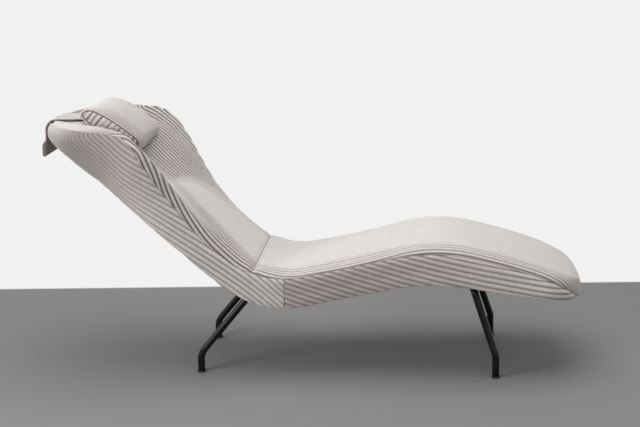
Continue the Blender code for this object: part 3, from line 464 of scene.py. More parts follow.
def even_places(section: Callable[[Array, Array], tuple[Array, Array]], s: Array, low: float, high: float,
                columns: int) -> tuple[Array, Array]:
    """Places across each row that are equally far apart along the section.

    The arc is summed over fine steps in each row, and one interpolation on a number line that sets the
    rows one after another gives the places at equal shares of it.

    Args:
        section: function from s and a place across to y and h.
        s: rows.
        low: first place across.
        high: last place across.
        columns: number of places in each row.

    Returns:
        The places and their arcs from the first one, one row for each s.
    """
    fine = np.linspace(low, high, 401)
    y, h = section(s[:, None], fine[None, :])
    arc = np.cumsum(np.hypot(np.diff(y, axis=1), np.diff(h, axis=1)), axis=1)
    arc = np.concatenate([np.zeros((len(s), 1)), arc], 1)
    whole = np.maximum(arc[:, -1:], 1e-6)
    shift = 2.0 * np.arange(len(s))[:, None]
    share = np.linspace(0, 1, columns)[None, :]
    known = arc / whole + fine / 1e6 + shift
    wanted = share * known[:, -1:] - share * shift + shift
    places = np.interp(wanted.ravel(), known.ravel(), np.tile(fine, len(s)))
    return places.reshape(len(s), columns), share * whole


@dataclass(frozen=True)
class Ribs:
    """The cloth's wide ribs: rounded crowns with narrow grooves between them."""

    pitch: float = 0.0164
    depth: float = 0.0046
    power: float = 2.4

    def groove(self, phase: Array) -> Array:
        """How deep in a groove each place is: twice its distance from the rib's middle, to a power."""
        return np.abs(2 * (phase - np.floor(phase)) - 1) ** self.power


class Graph:
    """Short hand for wiring a material's nodes round one Principled shader."""

    def __init__(self, name: str) -> None:
        """Start a material with its shader and output."""
        self.material = bpy.data.materials.new(name)
        self.material.use_nodes = True
        self.tree = self.material.node_tree
        self.tree.nodes.clear()
        self.shader = self.add("ShaderNodeBsdfPrincipled")
        out = self.add("ShaderNodeOutputMaterial")
        self.tree.links.new(self.shader.outputs[0], out.inputs["Surface"])

    def add(self, kind: str, inputs: dict | None = None, **settings) -> bpy.types.Node:
        """A node with its settings, and its inputs set to a value or linked to an output.

        Args:
            kind: the node's type.
            inputs: values or output sockets by input name or index.
            **settings: properties of the node.

        Returns:
            The node.
        """
        node = self.tree.nodes.new(kind)
        for key, value in settings.items():
            setattr(node, key, value)
        self.feed(node, inputs or {})
        return node

    def feed(self, node: bpy.types.Node, inputs: dict) -> None:
        """Set or link a node's inputs."""
        for key, value in inputs.items():
            if isinstance(value, Socket):
                self.tree.links.new(value, node.inputs[key])
            else:
                node.inputs[key].default_value = value

    def ramp(self, fac: Socket, stops: list[tuple[float, Colour]]) -> Socket:
        """A colour ramp over a factor, from its stops."""
        node = self.add("ShaderNodeValToRGB", {"Fac": fac})
        bar = node.color_ramp.elements
        while len(bar) < len(stops):
            bar.new(0.5)
        for mark, (place, colour) in zip(bar, stops):
            mark.position = place
            mark.color = (*colour, 1.0)
        return node.outputs["Color"]

    def noise(self, where: Socket, scale: float, detail: float = 3.0) -> Socket:
        """Noise of a scale, as a factor."""
        node = self.add("ShaderNodeTexNoise", {"Vector": where, "Scale": scale, "Detail": detail})
        return node.outputs["Fac"]

    def wave(self, where: Socket, direction: str, inputs: dict) -> Socket:
        """Straight bands in a direction, as a factor."""
        node = self.add("ShaderNodeTexWave", {"Vector": where, **inputs}, bands_direction=direction)
        return node.outputs["Fac"]

    def combine(self, operation: str, a: Socket, b: Socket) -> Socket:
        """Two factors joined by an operation."""
        return self.add("ShaderNodeMath", {0: a, 1: b}, operation=operation).outputs[0]

    def stretched(self, where: Socket, scale: Colour) -> Socket:
        """Coordinates scaled by axis."""
        return self.add("ShaderNodeMapping", {"Vector": where, "Scale": scale}).outputs["Vector"]

    def tint(self, colour: Socket, fac: Socket, low: float, high: float) -> Socket:
        """A colour multiplied by a grey that runs from low to high with a factor."""
        grey = self.ramp(fac, [(0.25, (low, low, low)), (0.75, (high, high, high))])
        mix = self.add("ShaderNodeMix", data_type="RGBA", blend_type="MULTIPLY")
        self.feed(mix, {"Factor": 1.0, 6: colour, 7: grey})
        return mix.outputs[2]

    def bump(self, height: Socket, strength: float, distance: float) -> None:
        """Bump from a height on the shader's normal."""
        node = self.add("ShaderNodeBump", {"Height": height, "Strength": strength, "Distance": distance})
        self.tree.links.new(node.outputs["Normal"], self.shader.inputs["Normal"])

    @property
    def object_place(self) -> Socket:
        """Object coordinates."""
        return self.add("ShaderNodeTexCoord").outputs["Object"]


@dataclass(frozen=True)
class RibbedFabric:
    """Wide-ribbed upholstery cloth: pale napped crowns, grooves darkened by painted shade and a fine twill
    ground.
    """

    name: str = "ribbed_fabric"
    crown: Colour = (0.642, 0.622, 0.595)
    flank: Colour = (0.515, 0.464, 0.449)
    groove: Colour = (0.180, 0.146, 0.142)
    deep: Colour = (0.070, 0.056, 0.054)

    def material(self) -> bpy.types.Material:
        """Colour by the depth in the groove, where painted shade and some darker ground weave darken it;
        mottled nap, thread bump from the cloth's own map.
        """
        g = Graph(self.name)
        depth = g.add("ShaderNodeAttribute", attribute_name="groove").outputs["Fac"]
        cloth = g.add("ShaderNodeUVMap", uv_map="cloth").outputs["UV"]
        # Painted shade: the flank, groove and deep stops darken the colour towards each groove's bottom,
        # partly the darker ground weave seen there.
        stops = [(0.0, self.crown), (0.34, self.flank), (0.76, self.groove), (1.0, self.deep)]
        colour = g.ramp(depth, stops)
        nap = g.noise(g.stretched(cloth, (1.0, 0.35, 1.0)), 260.0, 4.0)
        colour = g.tint(colour, nap, 0.93, 1.05)
        colour = g.tint(colour, g.noise(g.object_place, 7.0, 2.0), 0.965, 1.025)
        colour = g.tint(colour, g.noise(g.object_place, 70.0, 3.0), 0.925, 1.055)
        threads = g.wave(cloth, "DIAGONAL", {"Scale": 190.0, "Distortion": 1.2, "Detail": 1.0})
        g.bump(g.combine("ADD", threads, nap), 0.35, 0.0004)
        g.feed(g.shader, {"Base Color": colour, "Roughness": 0.92, "Specular IOR Level": 0.2})
        g.feed(g.shader, {"Sheen Weight": 0.35, "Sheen Roughness": 0.45})
        return g.material


@dataclass(frozen=True)
class PlainWeave:
    """Flat woven cloth, such as a lining, webbing or thread, on object coordinates."""

    name: str
    light: Colour
    dark: Colour
    threads: float = 420.0

    def material(self) -> bpy.types.Material:
        """Two crossed waves give the weave's colour and bump."""
        g = Graph(self.name)
        place = g.object_place
        thread = {"Scale": self.threads / 6.3, "Distortion": 0.6}
        weave = g.combine("MULTIPLY", g.wave(place, "X", thread), g.wave(place, "Y", thread))
        colour = g.ramp(weave, [(0.0, self.dark), (0.6, self.light)])
        colour = g.tint(colour, g.noise(place, 9.0), 0.9, 1.06)
        g.bump(weave, 0.3, 0.0003)
        g.feed(g.shader, {"Base Color": colour, "Roughness": 0.9, "Specular IOR Level": 0.2})
        return g.material


@dataclass(frozen=True)
class SatinPaint:
    """Black powder coat on steel tube, with faint orange peel and worn places."""

    name: str = "satin_black"
    colour: Colour = (0.0042, 0.0042, 0.0046)
    worn: Colour = (0.0100, 0.0100, 0.0105)
    roughness: tuple[float, float] = (0.24, 0.36)

    def material(self) -> bpy.types.Material:
        """Fine noise for the peel, slow noise for the gloss and the worn places."""
        g = Graph(self.name)
        place = g.object_place
        rub = g.noise(place, 16.0, 4.0)
        colour = g.ramp(rub, [(0.45, self.colour), (0.8, self.worn)])
        low, high = self.roughness
        gloss = g.add("ShaderNodeMapRange", {"Value": rub, "To Min": low, "To Max": high})
        g.bump(g.noise(place, 520.0, 2.0), 0.12, 0.0003)
        g.feed(g.shader, {"Base Color": colour, "Roughness": gloss.outputs[0], "Specular IOR Level": 0.25})
        return g.material


@dataclass(frozen=True)
class Wood:
    """Pale close-grained wood with its figure along the length of the chaise."""

    name: str = "beech"
    light: Colour = (0.62, 0.43, 0.25)
    dark: Colour = (0.45, 0.28, 0.14)

    def material(self) -> bpy.types.Material:
        """Stretched noise gives the grain."""
        g = Graph(self.name)
        grain = g.noise(g.stretched(g.object_place, (1.5, 22.0, 22.0)), 6.0, 5.0)
        g.bump(grain, 0.15, 0.0004)
        colour = g.ramp(grain, [(0.3, self.light), (0.72, self.dark)])
        g.feed(g.shader, {"Base Color": colour, "Roughness": 0.55})
        return g.material


@dataclass(frozen=True)
class BrightSteel:
    """Zinc-plated steel with a brushed look."""

    name: str = "plated_steel"
    light: Colour = (0.58, 0.58, 0.57)
    dark: Colour = (0.40, 0.40, 0.41)

    def material(self) -> bpy.types.Material:
        """Fine stretched noise gives the brushing."""
        g = Graph(self.name)
        brush = g.noise(g.stretched(g.object_place, (1.0, 1.0, 12.0)), 140.0, 3.0)
        g.bump(brush, 0.1, 0.0002)
        colour = g.ramp(brush, [(0.3, self.dark), (0.7, self.light)])
        g.feed(g.shader, {"Base Color": colour, "Metallic": 1.0, "Roughness": 0.38})
        return g.material


@dataclass
class Maker:
    """Turns grids of points into pieces and keeps one copy of each finish."""

    finishes: dict[str, bpy.types.Material] = field(default_factory=dict)

    def finish(self, kind) -> bpy.types.Material:
        """The material of a finish, made on its first use."""
        if kind.name not in self.finishes:
            self.finishes[kind.name] = kind.material()
        return self.finishes[kind.name]

    def piece(self, name: str, points: Array, faces: list, kind, uv: Array | None = None,
              groove: Array | None = None) -> Piece:
        """A mesh piece whose faces point outwards: they turn over if the volume inside is negative.

        Args:
            name: the piece's name.
            points: points, one row each.
            faces: faces as lists of point numbers.
            kind: its finish.
            uv: place in the cloth of each point.
            groove: depth in the rib's groove of each point, 0 to 1.

        Returns:
            The object.
        """
        quads = np.array([f for f in faces if len(f) == 4])
        a, b, c, d = (points[quads[:, k]] - points.mean(0) for k in range(4))
        volume = np.einsum("ij,ij->", a, np.cross(b, c) + np.cross(c, d))
        if volume < 0:
            faces = [f[::-1] for f in faces]
        mesh = bpy.data.meshes.new(name)
        mesh.from_pydata(points, [], faces)
        mesh.update()
        corner = np.empty(len(mesh.loops), np.int32)
        mesh.loops.foreach_get("vertex_index", corner)
        if uv is not None:
            layer = mesh.uv_layers.new(name="cloth")
            layer.data.foreach_set("uv", uv[corner].astype(np.float32).ravel())
        if groove is not None:
            layer = mesh.attributes.new("groove", "FLOAT", "POINT")
            layer.data.foreach_set("value", groove.astype(np.float32))
        mesh.polygons.foreach_set("use_smooth", np.ones(len(mesh.polygons), bool))
        mesh.materials.append(self.finish(kind))
        obj = bpy.data.objects.new(name, mesh)
        bpy.context.scene.collection.objects.link(obj)
        LOG.info("%s: %d points, %d faces", name, len(points), len(faces))
        return obj


def ring_faces(rows: int, points: int, capped: bool = True) -> list:
    """Faces of a body made of closed rings: four-sided round and along it, and a cap at each end.

    Args:
        rows: number of rings.
        points: number of points in each ring.
        capped: whether the first and the last ring are closed by a face.

    Returns:
        Faces as lists of point numbers.
    """
    at = np.arange(rows * points).reshape(rows, points)
    beside = np.roll(at, -1, 1)
    faces = np.stack([at[:-1], beside[:-1], beside[1:], at[1:]], -1).reshape(-1, 4).tolist()
    return faces + [at[0][::-1].tolist(), at[-1].tolist()] if capped else faces


def tangents(path: Array) -> Array:
    """Unit directions along a path: its central differences, made one long."""
    ahead = np.gradient(path, axis=0)
    return ahead / np.linalg.norm(ahead, axis=1, keepdims=True)


def tube_rings(path: Array, beside: Array, radius: float, sides: int) -> Array:
    """Rings of a round tube: a circle carried along a path, square to it.

    Args:
        path: points of the tube's middle.
        beside: a direction square to the path, one for all of it or one for each point.
        radius: the tube's radius.
        sides: number of points in each ring.

    Returns:
        The rings: the path, plus the radius times the cosine and the sine of two directions square to it.
    """
    third = np.cross(tangents(path), beside)
    turn = np.linspace(0, 2 * math.pi, sides, endpoint=False)[None, :, None]
    return path[:, None] + radius * (np.cos(turn) * beside[..., None, :] + np.sin(turn) * third[:, None])


@dataclass
class Panel:
    """A panel of padded cloth on a grid: its outer points, their normals, and its place in the cloth."""

    points: Array
    normals: Array
    arc: Array
    along: Array
    groove: Array
    backing: int = 14
    thick: float = 0.009

    def moved(self, distance: Array) -> "Panel":
        """The same panel with its points moved along their normals."""
        return replace(self, points=self.points + self.normals * distance[..., None])

    def make(self, maker: Maker, name: str, kind, under: Array) -> Piece:
        """The closed piece: each ring is a row of outer points and, going back, a few points under it.

        Args:
            maker: makes the mesh.
            name: the piece's name.
            kind: its finish.
            under: points that the back of the panel lies a thickness below.

        Returns:
            The object.
        """
        rows, columns = self.arc.shape
        pick = np.linspace(columns - 1, 0, self.backing).round().astype(int)
        low = under[:, pick] - self.normals[:, pick] * self.thick
        rings = np.concatenate([self.points, low], 1)
        uv = np.stack([np.concatenate([k, k[:, pick]], 1) for k in (self.arc, self.along)], -1)
        # The backing takes the ramp's darkest colour: painted shade where it shows in the gaps at the
        # seams.
        groove = np.concatenate([self.groove, np.ones((rows, self.backing))], 1)
        faces = ring_faces(*rings.shape[:2])
        return maker.piece(name, rings.reshape(-1, 3), faces, kind, uv.reshape(-1, 2), groove.ravel())


@dataclass
class PadSim:
    """Lets a coarse grid of cloth, held at its edges, swell under the pressure of its filling."""

    rows: int = 34
    columns: int = 30
    pressure: float = 4.0
    frames: int = 20
    cap: float = 0.006

    def spread(self, count: int, coarse: int) -> Array:
        """Weights that carry a coarse row to a fine one: cubic B-spline humps at the coarse places, made
        to sum to 1."""
        x = np.abs(np.linspace(0, coarse - 1, count)[:, None] - np.arange(coarse)[None, :])
        near = 2 / 3 - x ** 2 + x ** 3 / 2
        weight = np.where(x < 1, near, np.where(x < 2, np.clip(2 - x, 0, None) ** 3 / 6, 0))
        return weight / weight.sum(1, keepdims=True)

    def swell(self, points: Array, normals: Array) -> Array:
        """How far each point of a grid moves outwards, from a cloth simulation on some of its points.

        Args:
            points: the fine grid.
            normals: its normals.

        Returns:
            The distance for each point, from 0 to the cap.
        """
        r = np.linspace(0, points.shape[0] - 1, self.rows).round().astype(int)
        c = np.linspace(0, points.shape[1] - 1, self.columns).round().astype(int)
        start, normal = points[np.ix_(r, c)], normals[np.ix_(r, c)]
        moved = self.run(start, normal) - start
        out = np.clip(np.einsum("ijk,ijk->ij", moved, normal), 0, self.cap)
        return self.spread(points.shape[0], self.rows) @ out @ self.spread(points.shape[1], self.columns).T

    def run(self, start: Array, normal: Array) -> Array:
        """Cloth simulation of a coarse grid with its edge held, gravity off and pressure on.

        Args:
            start: the grid's points.
            normal: its outward normals, which the faces are turned to.

        Returns:
            The points after the last frame.
        """
        rows, columns = start.shape[:2]
        at = np.arange(rows * columns).reshape(rows, columns)
        faces = np.stack([at[:-1, :-1], at[:-1, 1:], at[1:, 1:], at[1:, :-1]], -1).reshape(-1, 4)
        p = start.reshape(-1, 3)
        facing = np.cross(p[faces[:, 1]] - p[faces[:, 0]], p[faces[:, 3]] - p[faces[:, 0]])
        if np.einsum("ij,ij->", facing, normal.reshape(-1, 3)[faces[:, 0]]) < 0:
            faces = faces[:, ::-1]
        mesh = bpy.data.meshes.new("swelling")
        mesh.from_pydata(p, [], faces.tolist())
        obj = bpy.data.objects.new("swelling", mesh)
        scene = bpy.context.scene
        scene.collection.objects.link(obj)
        edge = np.concatenate([at[0], at[-1], at[:, 0], at[:, -1]])
        obj.vertex_groups.new(name="held").add(np.unique(edge).tolist(), 1.0, "REPLACE")
        cloth = obj.modifiers.new("cloth", "CLOTH")
        cloth.settings.quality = 5
        cloth.settings.vertex_group_mass = "held"
        cloth.settings.use_pressure = True
        cloth.settings.uniform_pressure_force = self.pressure
        cloth.settings.effector_weights.gravity = 0.0
        cloth.point_cache.frame_end = self.frames
        for number in range(1, self.frames + 1):
            scene.frame_set(number)
        done = obj.evaluated_get(bpy.context.evaluated_depsgraph_get()).data
        out = np.empty(len(done.vertices) * 3, np.float32)
        done.vertices.foreach_get("co", out)
        bpy.data.objects.remove(obj, do_unlink=True)
        bpy.data.meshes.remove(mesh)
        scene.frame_set(1)
        return out.reshape(start.shape).astype(float)


@dataclass
class Upholstery:
    """The shell's sewn cover: back and seat pads, side panels, rear panel, lining and seams."""

    shell: Shell
    maker: Maker
    cloth: RibbedFabric = RibbedFabric()
    lining: PlainWeave = PlainWeave("dust_cover", (0.060, 0.056, 0.053), (0.020, 0.019, 0.018))
    thread: PlainWeave = PlainWeave("seam_thread", (0.500, 0.465, 0.445), (0.330, 0.300, 0.285), 900.0)
    ribs: Ribs = Ribs()
    top_ribs: Ribs = Ribs(depth=0.0056, power=1.8)
    row_step: float = 0.0046
    half_columns: int = 151
    side_columns: int = 120
    seat_half_columns: int = 116
    seat_side_columns: int = 40
    head_zone: float = 0.25
    head_rows: int = 110
    foot_zone: float = 0.06
    foot_rows: int = 18
    end_gap: float = 0.0004
    top_rim: float = 1.99
    side_rim: float = 0.003
    head_slope: float = 1.70
    wing_at: float = 0.15
    wing_zone: Zone = Zone(0.115, 0.055)
    turn_drop: float = 0.030
    turn_zone: Zone = Zone(0.14, 0.12)
    fold_least: float = 0.002
    fold_more: float = 0.040
    fold_zone: Zone = Zone(0.165, 0.13)
    edge_zone: Zone = Zone(0.19, 0.06)
    edge_reach: float = 0.18
    straight_zone: Zone = Zone(0.05, 0.11)
    agree_at: float = 0.11
    head_share: float = 0.30
    head_tight: Zone = Zone(0.02, 0.14)
    lean: float = 0.84
    back_marks: tuple[float, ...] = (-0.68, -0.60, -0.56, -0.52, -0.48, -0.40, -0.28, -0.20, -0.12, -0.05)
    back_angles: tuple[float, ...] = (46.0, 44.0, 38.0, 31.0, 30.5, 34.0, 35.5, 37.5, 42.5, 45.0)
    seat_marks: tuple[float, ...] = (-0.1, 0.25, 0.6, 0.85)
    seat_angles: tuple[float, ...] = (21.0, 15.5, 11.0, 9.0)
    worn_at: tuple[float, ...] = (0.38, 0.40, 0.44, 0.50, 0.60, 0.777)
    worn_half: tuple[float, ...] = (0.0, 0.04, 0.10, 0.14, 0.17, 0.21)
    worn_soft: float = 0.06
    worn_share: float = 0.8
    worn_zone: Zone = Zone(0.375, 0.02)
    seat_smooth: Zone = Zone(0.055, 0.03)
    roll_width: float = 0.010
    roll_depth: float = 0.0046
    edge_roll: float = 0.4
    crease_roll: float = 0.3
    side_roll: float = 0.5
    lower_roll: float = 0.6
    seam_zone: Zone = Zone(0.13, 0.06)
    pad_cap: float = 0.005
    pad_sunk: float = 0.002
    side_cap: float = 0.002
    side_off: float = 0.001
    rail_off: float = 0.0035
    rail_zone: Zone = Zone(0.34, 0.10)
    rail_inset: Zone = Zone(0.045, 0.03)
    under: float = 0.004
    strap_press: float = 0.0032
    strap_edge: Zone = Zone(0.070, 0.012)
    strap_zone: Zone = Zone(0.105, 0.02)
    rear_end: float = 0.735
    rear_off: float = 0.0030
    rear_ribs: float = 0.7
    valley: float = 0.024
    shade: float = 0.69
    # Painted shade on the crowns of the back's sides, from the head and fading out towards the seat.
    head_side_shade: float = 0.62
    head_side_shade_start: Zone = Zone(-0.01, 0.08)
    head_side_shade_end: Zone = Zone(0.40, 0.22)
    # Painted shade on the crowns of the seat's sides, darkest near the back and fading towards the foot.
    seat_side_shade: float = 0.60
    seat_side_shade_zone: Zone = Zone(0.78, 0.65)

    @property
    def start_count(self) -> float:
        """Count at the head's end with which the turned ribs meet the straight ones at the wings."""
        at = np.array([self.wing_at])
        half = even_places(self.shell.top_section, at, 0.0, self.top_rim, 3)[1][0, -1]
        return float(half - self.level(at)[0])

    def rows(self, start: float, stop: float, head: bool = False, foot: bool = False) -> Array:
        """Places of the rows: evenly spaced, and closer at a rounded end by a power of the share.

        Args:
            start: the first place.
            stop: the last place.
            head: whether the rows begin at the head's rounded end.
            foot: whether they finish at the foot's.

        Returns:
            The places.
        """
        first = start + self.head_zone if head else start
        last = stop - self.foot_zone if foot else stop
        middle = np.linspace(first, last, max(2, int(round((last - first) / self.row_step)) + 1))
        share = np.linspace(0, 1, self.head_rows, endpoint=False)
        close = (0.85 * share + 0.15 * share ** 2) * share ** 0.15
        near = start + self.head_zone * close if head else np.zeros(0)
        share = np.linspace(0, 1, self.foot_rows, endpoint=False)[::-1]
        far = stop - self.foot_zone * share ** 2 if foot else np.zeros(0)
        return np.concatenate([near, middle, far])

    def turn_axis(self, s: Array) -> Array:
        """How far below the edge the ribs turn over: on the side at the head, farther on at the seam."""
        return self.turn_drop * self.turn_zone.before(s)

    def fold(self, distance: Array, s: Array) -> Array:
        """Distance from the turn as the ribs count it: a parabola that is level at the turn and runs into
        the plain distance at the turn's depth, which is wide at the head and small from the wings on."""
        far = np.abs(distance)
        r = self.fold_least + self.fold_more * self.fold_zone.before(s)
        return np.where(far < r, far ** 2 / (2 * r) + r / 2, far)

    def level(self, s: Array) -> Array:
        """Count of the ribs along the turn, in metres of cloth: the sum of a slope that is steady round
        the head and becomes that of the side's depth at the wings."""
        fine = np.linspace(self.shell.head + self.end_gap, self.shell.side_seam, 800)
        depth = even_places(self.shell.side_section, fine, self.side_rim, 1.0, 3)[1][:, -1]
        share = self.wing_zone.after(fine)
        slope = self.head_slope * (1 - share) + np.gradient(depth, fine) * share
        steps = (slope[1:] + slope[:-1]) / 2 * np.diff(fine)
        return np.interp(s, fine, np.concatenate([[0], np.cumsum(steps)]))

    def ease_in(self, s: Array) -> Array:
        """Share of the ribs' depth: they are shallow round the head, where the cloth is drawn tight."""
        return self.head_share + (1 - self.head_share) * self.head_tight.after(s)

    def worn(self, s: Array, arc: Array) -> Array:
        """How far the ribs are pressed flat: from the small of the back on, where the cloth is sat smooth
        in the middle, over a width that grows towards the seat."""
        half = np.interp(s, self.worn_at, self.worn_half)
        return eased((half - np.abs(arc)) / self.worn_soft) * self.worn_zone.after(s)

    def roll(self, distance: Array, fade: Array | float = 1.0) -> Array:
        """How far cloth is drawn in towards a seam: the square of the share left of the roll's width."""
        return self.roll_depth * np.clip(1 - distance / self.roll_width, 0, 1) ** 2 * fade

    def seam_fade(self, s: Array) -> Array:
        """The seam along the edge shows from the wings on and fades out towards the head."""
        return self.seam_zone.after(s)

    def top_panel(self, s: Array, half_columns: int) -> tuple[Panel, Array, Array]:
        """A panel of the top with no ribs yet.

        Args:
            s: places of its rows.
            half_columns: number of places from the middle to an edge.

        Returns:
            The panel, its places across, and how far in from the edge each place is.
        """
        v, arc = even_places(self.shell.top_section, s, 0.0, self.top_rim, half_columns)
        inset = arc[:, -1:] - np.concatenate([arc[:, :0:-1], arc], 1)
        v, arc = (np.concatenate([-k[:, :0:-1], k], 1) for k in (v, arc))
        at = np.broadcast_to(s[:, None], v.shape)
        panel = Panel(self.shell.top(at, v), outward(self.shell.top, at, v), arc, at, np.zeros(v.shape))
        return panel, v, inset

    def top_piece(self, name: str, panel: Panel, ribs: Ribs, low: Array) -> Piece:
        """A pad of the top: the panel swollen by its filling, less its grooves and how low it is drawn."""
        swell = PadSim(cap=self.pad_cap).swell(panel.points, panel.normals)
        made = panel.moved(swell - self.pad_sunk - ribs.depth * panel.groove - low)
        return made.make(self.maker, name, self.cloth, panel.points - panel.normals * self.under)

    def straight_arc(self, s: Array, v: Array) -> Array:
        """Arcs from the middle, as sums of the steps between places, with the valley narrow all along: on
        those arcs the ribs run straight past the pillow, under which the valley widens."""
        dish = Curve(((-0.02, self.valley), (1.86, self.valley)))
        y, h = replace(self.shell, dish_half=dish, lumbar=False).top_section(s, v)
        steps = np.hypot(np.diff(y, axis=1, prepend=y[:, :1]), np.diff(h, axis=1, prepend=h[:, :1]))
        arc = np.cumsum(steps, 1)
        middle = arc.shape[1] // 2
        return np.abs(arc - arc[:, middle:middle + 1])

    def back_pad(self) -> Piece:
        """The back's pad: straight ribs along it that turn over the edge at the head, worn smooth in the
        small of the back, and a press mark under the strap."""
        s = self.rows(self.shell.head + self.end_gap, self.shell.crease - 2 * self.end_gap, head=True)
        panel, v, inset = self.top_panel(s, self.half_columns)
        at = panel.along
        turned = self.level(at) + self.start_count - self.fold(inset + self.turn_axis(at), at)
        edge = (1 - eased(inset / self.edge_reach)) * self.edge_zone.before(at)
        count = self.straight_arc(at, v) * (1 - edge) + turned * edge
        panel.groove = self.top_ribs.groove(count / self.top_ribs.pitch + 0.5) * self.ease_in(at)
        panel.groove = panel.groove * (1 - self.worn_share * self.worn(at, panel.arc))
        press = self.strap_edge.before(np.abs(panel.points[..., 1])) * self.strap_zone.before(at)
        low = self.roll(inset, self.edge_roll * self.seam_fade(at)) + self.strap_press * press
        low = low + self.roll(self.shell.crease - at, self.crease_roll)
        piece = self.top_piece("back_pad", panel, self.top_ribs, low)
        return self.dress(piece, 0.85, "back_cover", "back_foam")

    def seat_pad(self) -> Piece:
        """The seat's pad: straight ribs from the crease over the knee and down over the foot end, sat
        smooth in the middle."""
        s = self.rows(self.shell.crease + 2 * self.end_gap, self.shell.line.end - 0.0005, foot=True)
        panel, _, inset = self.top_panel(s, self.seat_half_columns)
        at = panel.along
        smooth = self.worn_share * self.seat_smooth.after(inset)
        panel.groove = self.ribs.groove(panel.arc / self.ribs.pitch + 0.5) * (1 - smooth)
        low = self.roll(inset, eased((self.shell.foot_tip - at) / 0.03))
        low = low + self.roll(at - self.shell.crease, self.crease_roll)
        piece = self.top_piece("seat_pad", panel, self.ribs, low)
        return self.dress(piece, 0.85, "seat_cover", "seat_foam")

    def dress(self, piece: Piece, fill: float, *nodes: str) -> Piece:
        """Ride a padded piece on the chaise in place of its nodes."""
        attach(piece, Body.CHAISE.value)
        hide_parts(*nodes)
        return piece

    def side_panel(self, s: Array, columns: int, hand: Hand) -> Panel:
        """A side's panel with no ribs yet, its arcs counted from the seam."""
        u, arc = even_places(self.shell.side_section, s, self.side_rim, 1.0, columns)
        at = np.broadcast_to(s[:, None], u.shape)
        points = mirrored(self.shell.side(at, u), hand)
        normals = mirrored(outward(self.shell.side, at, u), hand)
        return Panel(points, normals, arc, at, np.zeros(u.shape), thick=0.005)

    def side_piece(self, name: str, panel: Panel, columns: int, low: Array, dark: Array) -> Piece:
        """A side's piece: the panel swollen by its filling, less its grooves and how low it is drawn.

        Args:
            name: the piece's name.
            panel: the ribbed panel.
            columns: number of columns of the grid that swells.
            low: how far the cloth is drawn in at its seams.
            dark: painted shade on the crowns of its ribs, 0 to 1.

        Returns:
            The object.
        """
        swell = PadSim(cap=self.side_cap, columns=columns).swell(panel.points, panel.normals)
        off = self.lower_edge(panel.along, panel.arc)
        made = panel.moved(swell + off - self.ribs.depth * panel.groove - low)
        # Colour attribute: the grooves' painted shade scaled by shade, with the crowns darkened by the
        # painted shade in dark.
        made.groove = self.shade * (panel.groove + (1 - panel.groove) * dark)
        return made.make(self.maker, name, self.cloth, panel.points - panel.normals * self.under)

    def falling(self, points: Array, marks: tuple[float, ...], angles: tuple[float, ...]) -> Array:
        """Height above a line that falls towards the foot: z plus the sum of the line's slope over x.

        Args:
            points: places on a side.
            marks: x of the places where the line's angle is given.
            angles: its angle below level at each mark, in degrees.

        Returns:
            The height of each point.
        """
        step = 0.005
        x = np.arange(-0.9, 1.0, step)
        fall = np.cumsum(np.tan(np.radians(np.interp(x, marks, angles)))) * step
        return points[..., 2] + np.interp(points[..., 0], x, fall)

    def side_count(self, panel: Panel) -> Array:
        """Count of the ribs on the back's side, in metres of cloth: at the head they turn over with the
        edge, and from the wing on they fall in nearly straight lines to the seat's seam. Both counts
        agree in mid-depth at one place along the back."""
        at = panel.along
        turned = self.level(at) + self.start_count - self.fold(panel.arc - self.turn_axis(at), at)
        straight = self.lean * self.falling(panel.points, self.back_marks, self.back_angles)
        row = int(np.argmin(np.abs(at[:, 0] - self.agree_at)))
        column = at.shape[1] // 2
        straight = straight + turned[row, column] - straight[row, column]
        share = self.straight_zone.after(at)
        return turned * (1 - share) + straight * share

    def back_side(self, hand: Hand) -> Piece:
        """A side of the back: ribs that fall towards the seat and meet those of the top in arrowheads
        along the seam, and that turn up and over the rounded edge at the head."""
        s = self.rows(self.shell.head + self.end_gap, self.shell.side_seam - 0.0006, head=True)
        panel = self.side_panel(s, self.side_columns, hand)
        at = panel.along
        panel.groove = self.ribs.groove(self.side_count(panel) / self.ribs.pitch + 0.5) * self.ease_in(at)
        low = self.roll(panel.arc, self.edge_roll * self.seam_fade(at))
        low = low + self.roll(self.shell.side_seam - at, self.side_roll)
        # Painted shade: the crowns on this side darken from the head on and fade out down the back.
        dark = self.head_side_shade * self.head_side_shade_start.after(at) * self.head_side_shade_end.before(at)
        piece = self.side_piece("back_side_" + hand.word, panel, 14, low, dark)
        return self.dress(piece, 0.9, "back_side_cover_" + hand.word)

    def lower_edge(self, s: Array, arc: Array) -> Array:
        """How far a side's cloth stands off: a little all over, and more at the lower edge where a rail
        fills it, but at the head it is drawn in there."""
        inset = arc[:, -1:] - arc
        below = self.rail_zone.after(s)
        filled = self.rail_off * self.rail_inset.before(inset) * below
        return self.side_off + filled - self.roll(inset, self.lower_roll * (1 - below))

    def seat_side(self, hand: Hand) -> Piece:
        """A side of the seat: ribs that fall towards the foot, steeper near the back. Its crowns get
        painted shade near the back, where the nap lies away from the light, and less towards the foot."""
        s = self.rows(self.shell.side_seam + 0.0006, self.shell.foot_tip - 0.002)
        panel = self.side_panel(s, self.seat_side_columns, hand)
        height = self.falling(panel.points, self.seat_marks, self.seat_angles)
        panel.groove = self.ribs.groove(height / self.ribs.pitch)
        low = self.roll(panel.arc) + self.roll(panel.along - self.shell.side_seam, self.side_roll)
        # Painted shade: the crowns darken near the back, less towards the foot.
        dark = self.seat_side_shade * self.seat_side_shade_zone.before(panel.points[..., 0])
        piece = self.side_piece("seat_side_" + hand.word, panel, 10, low, dark)
        return self.dress(piece, 0.9, "seat_side_cover_" + hand.word)

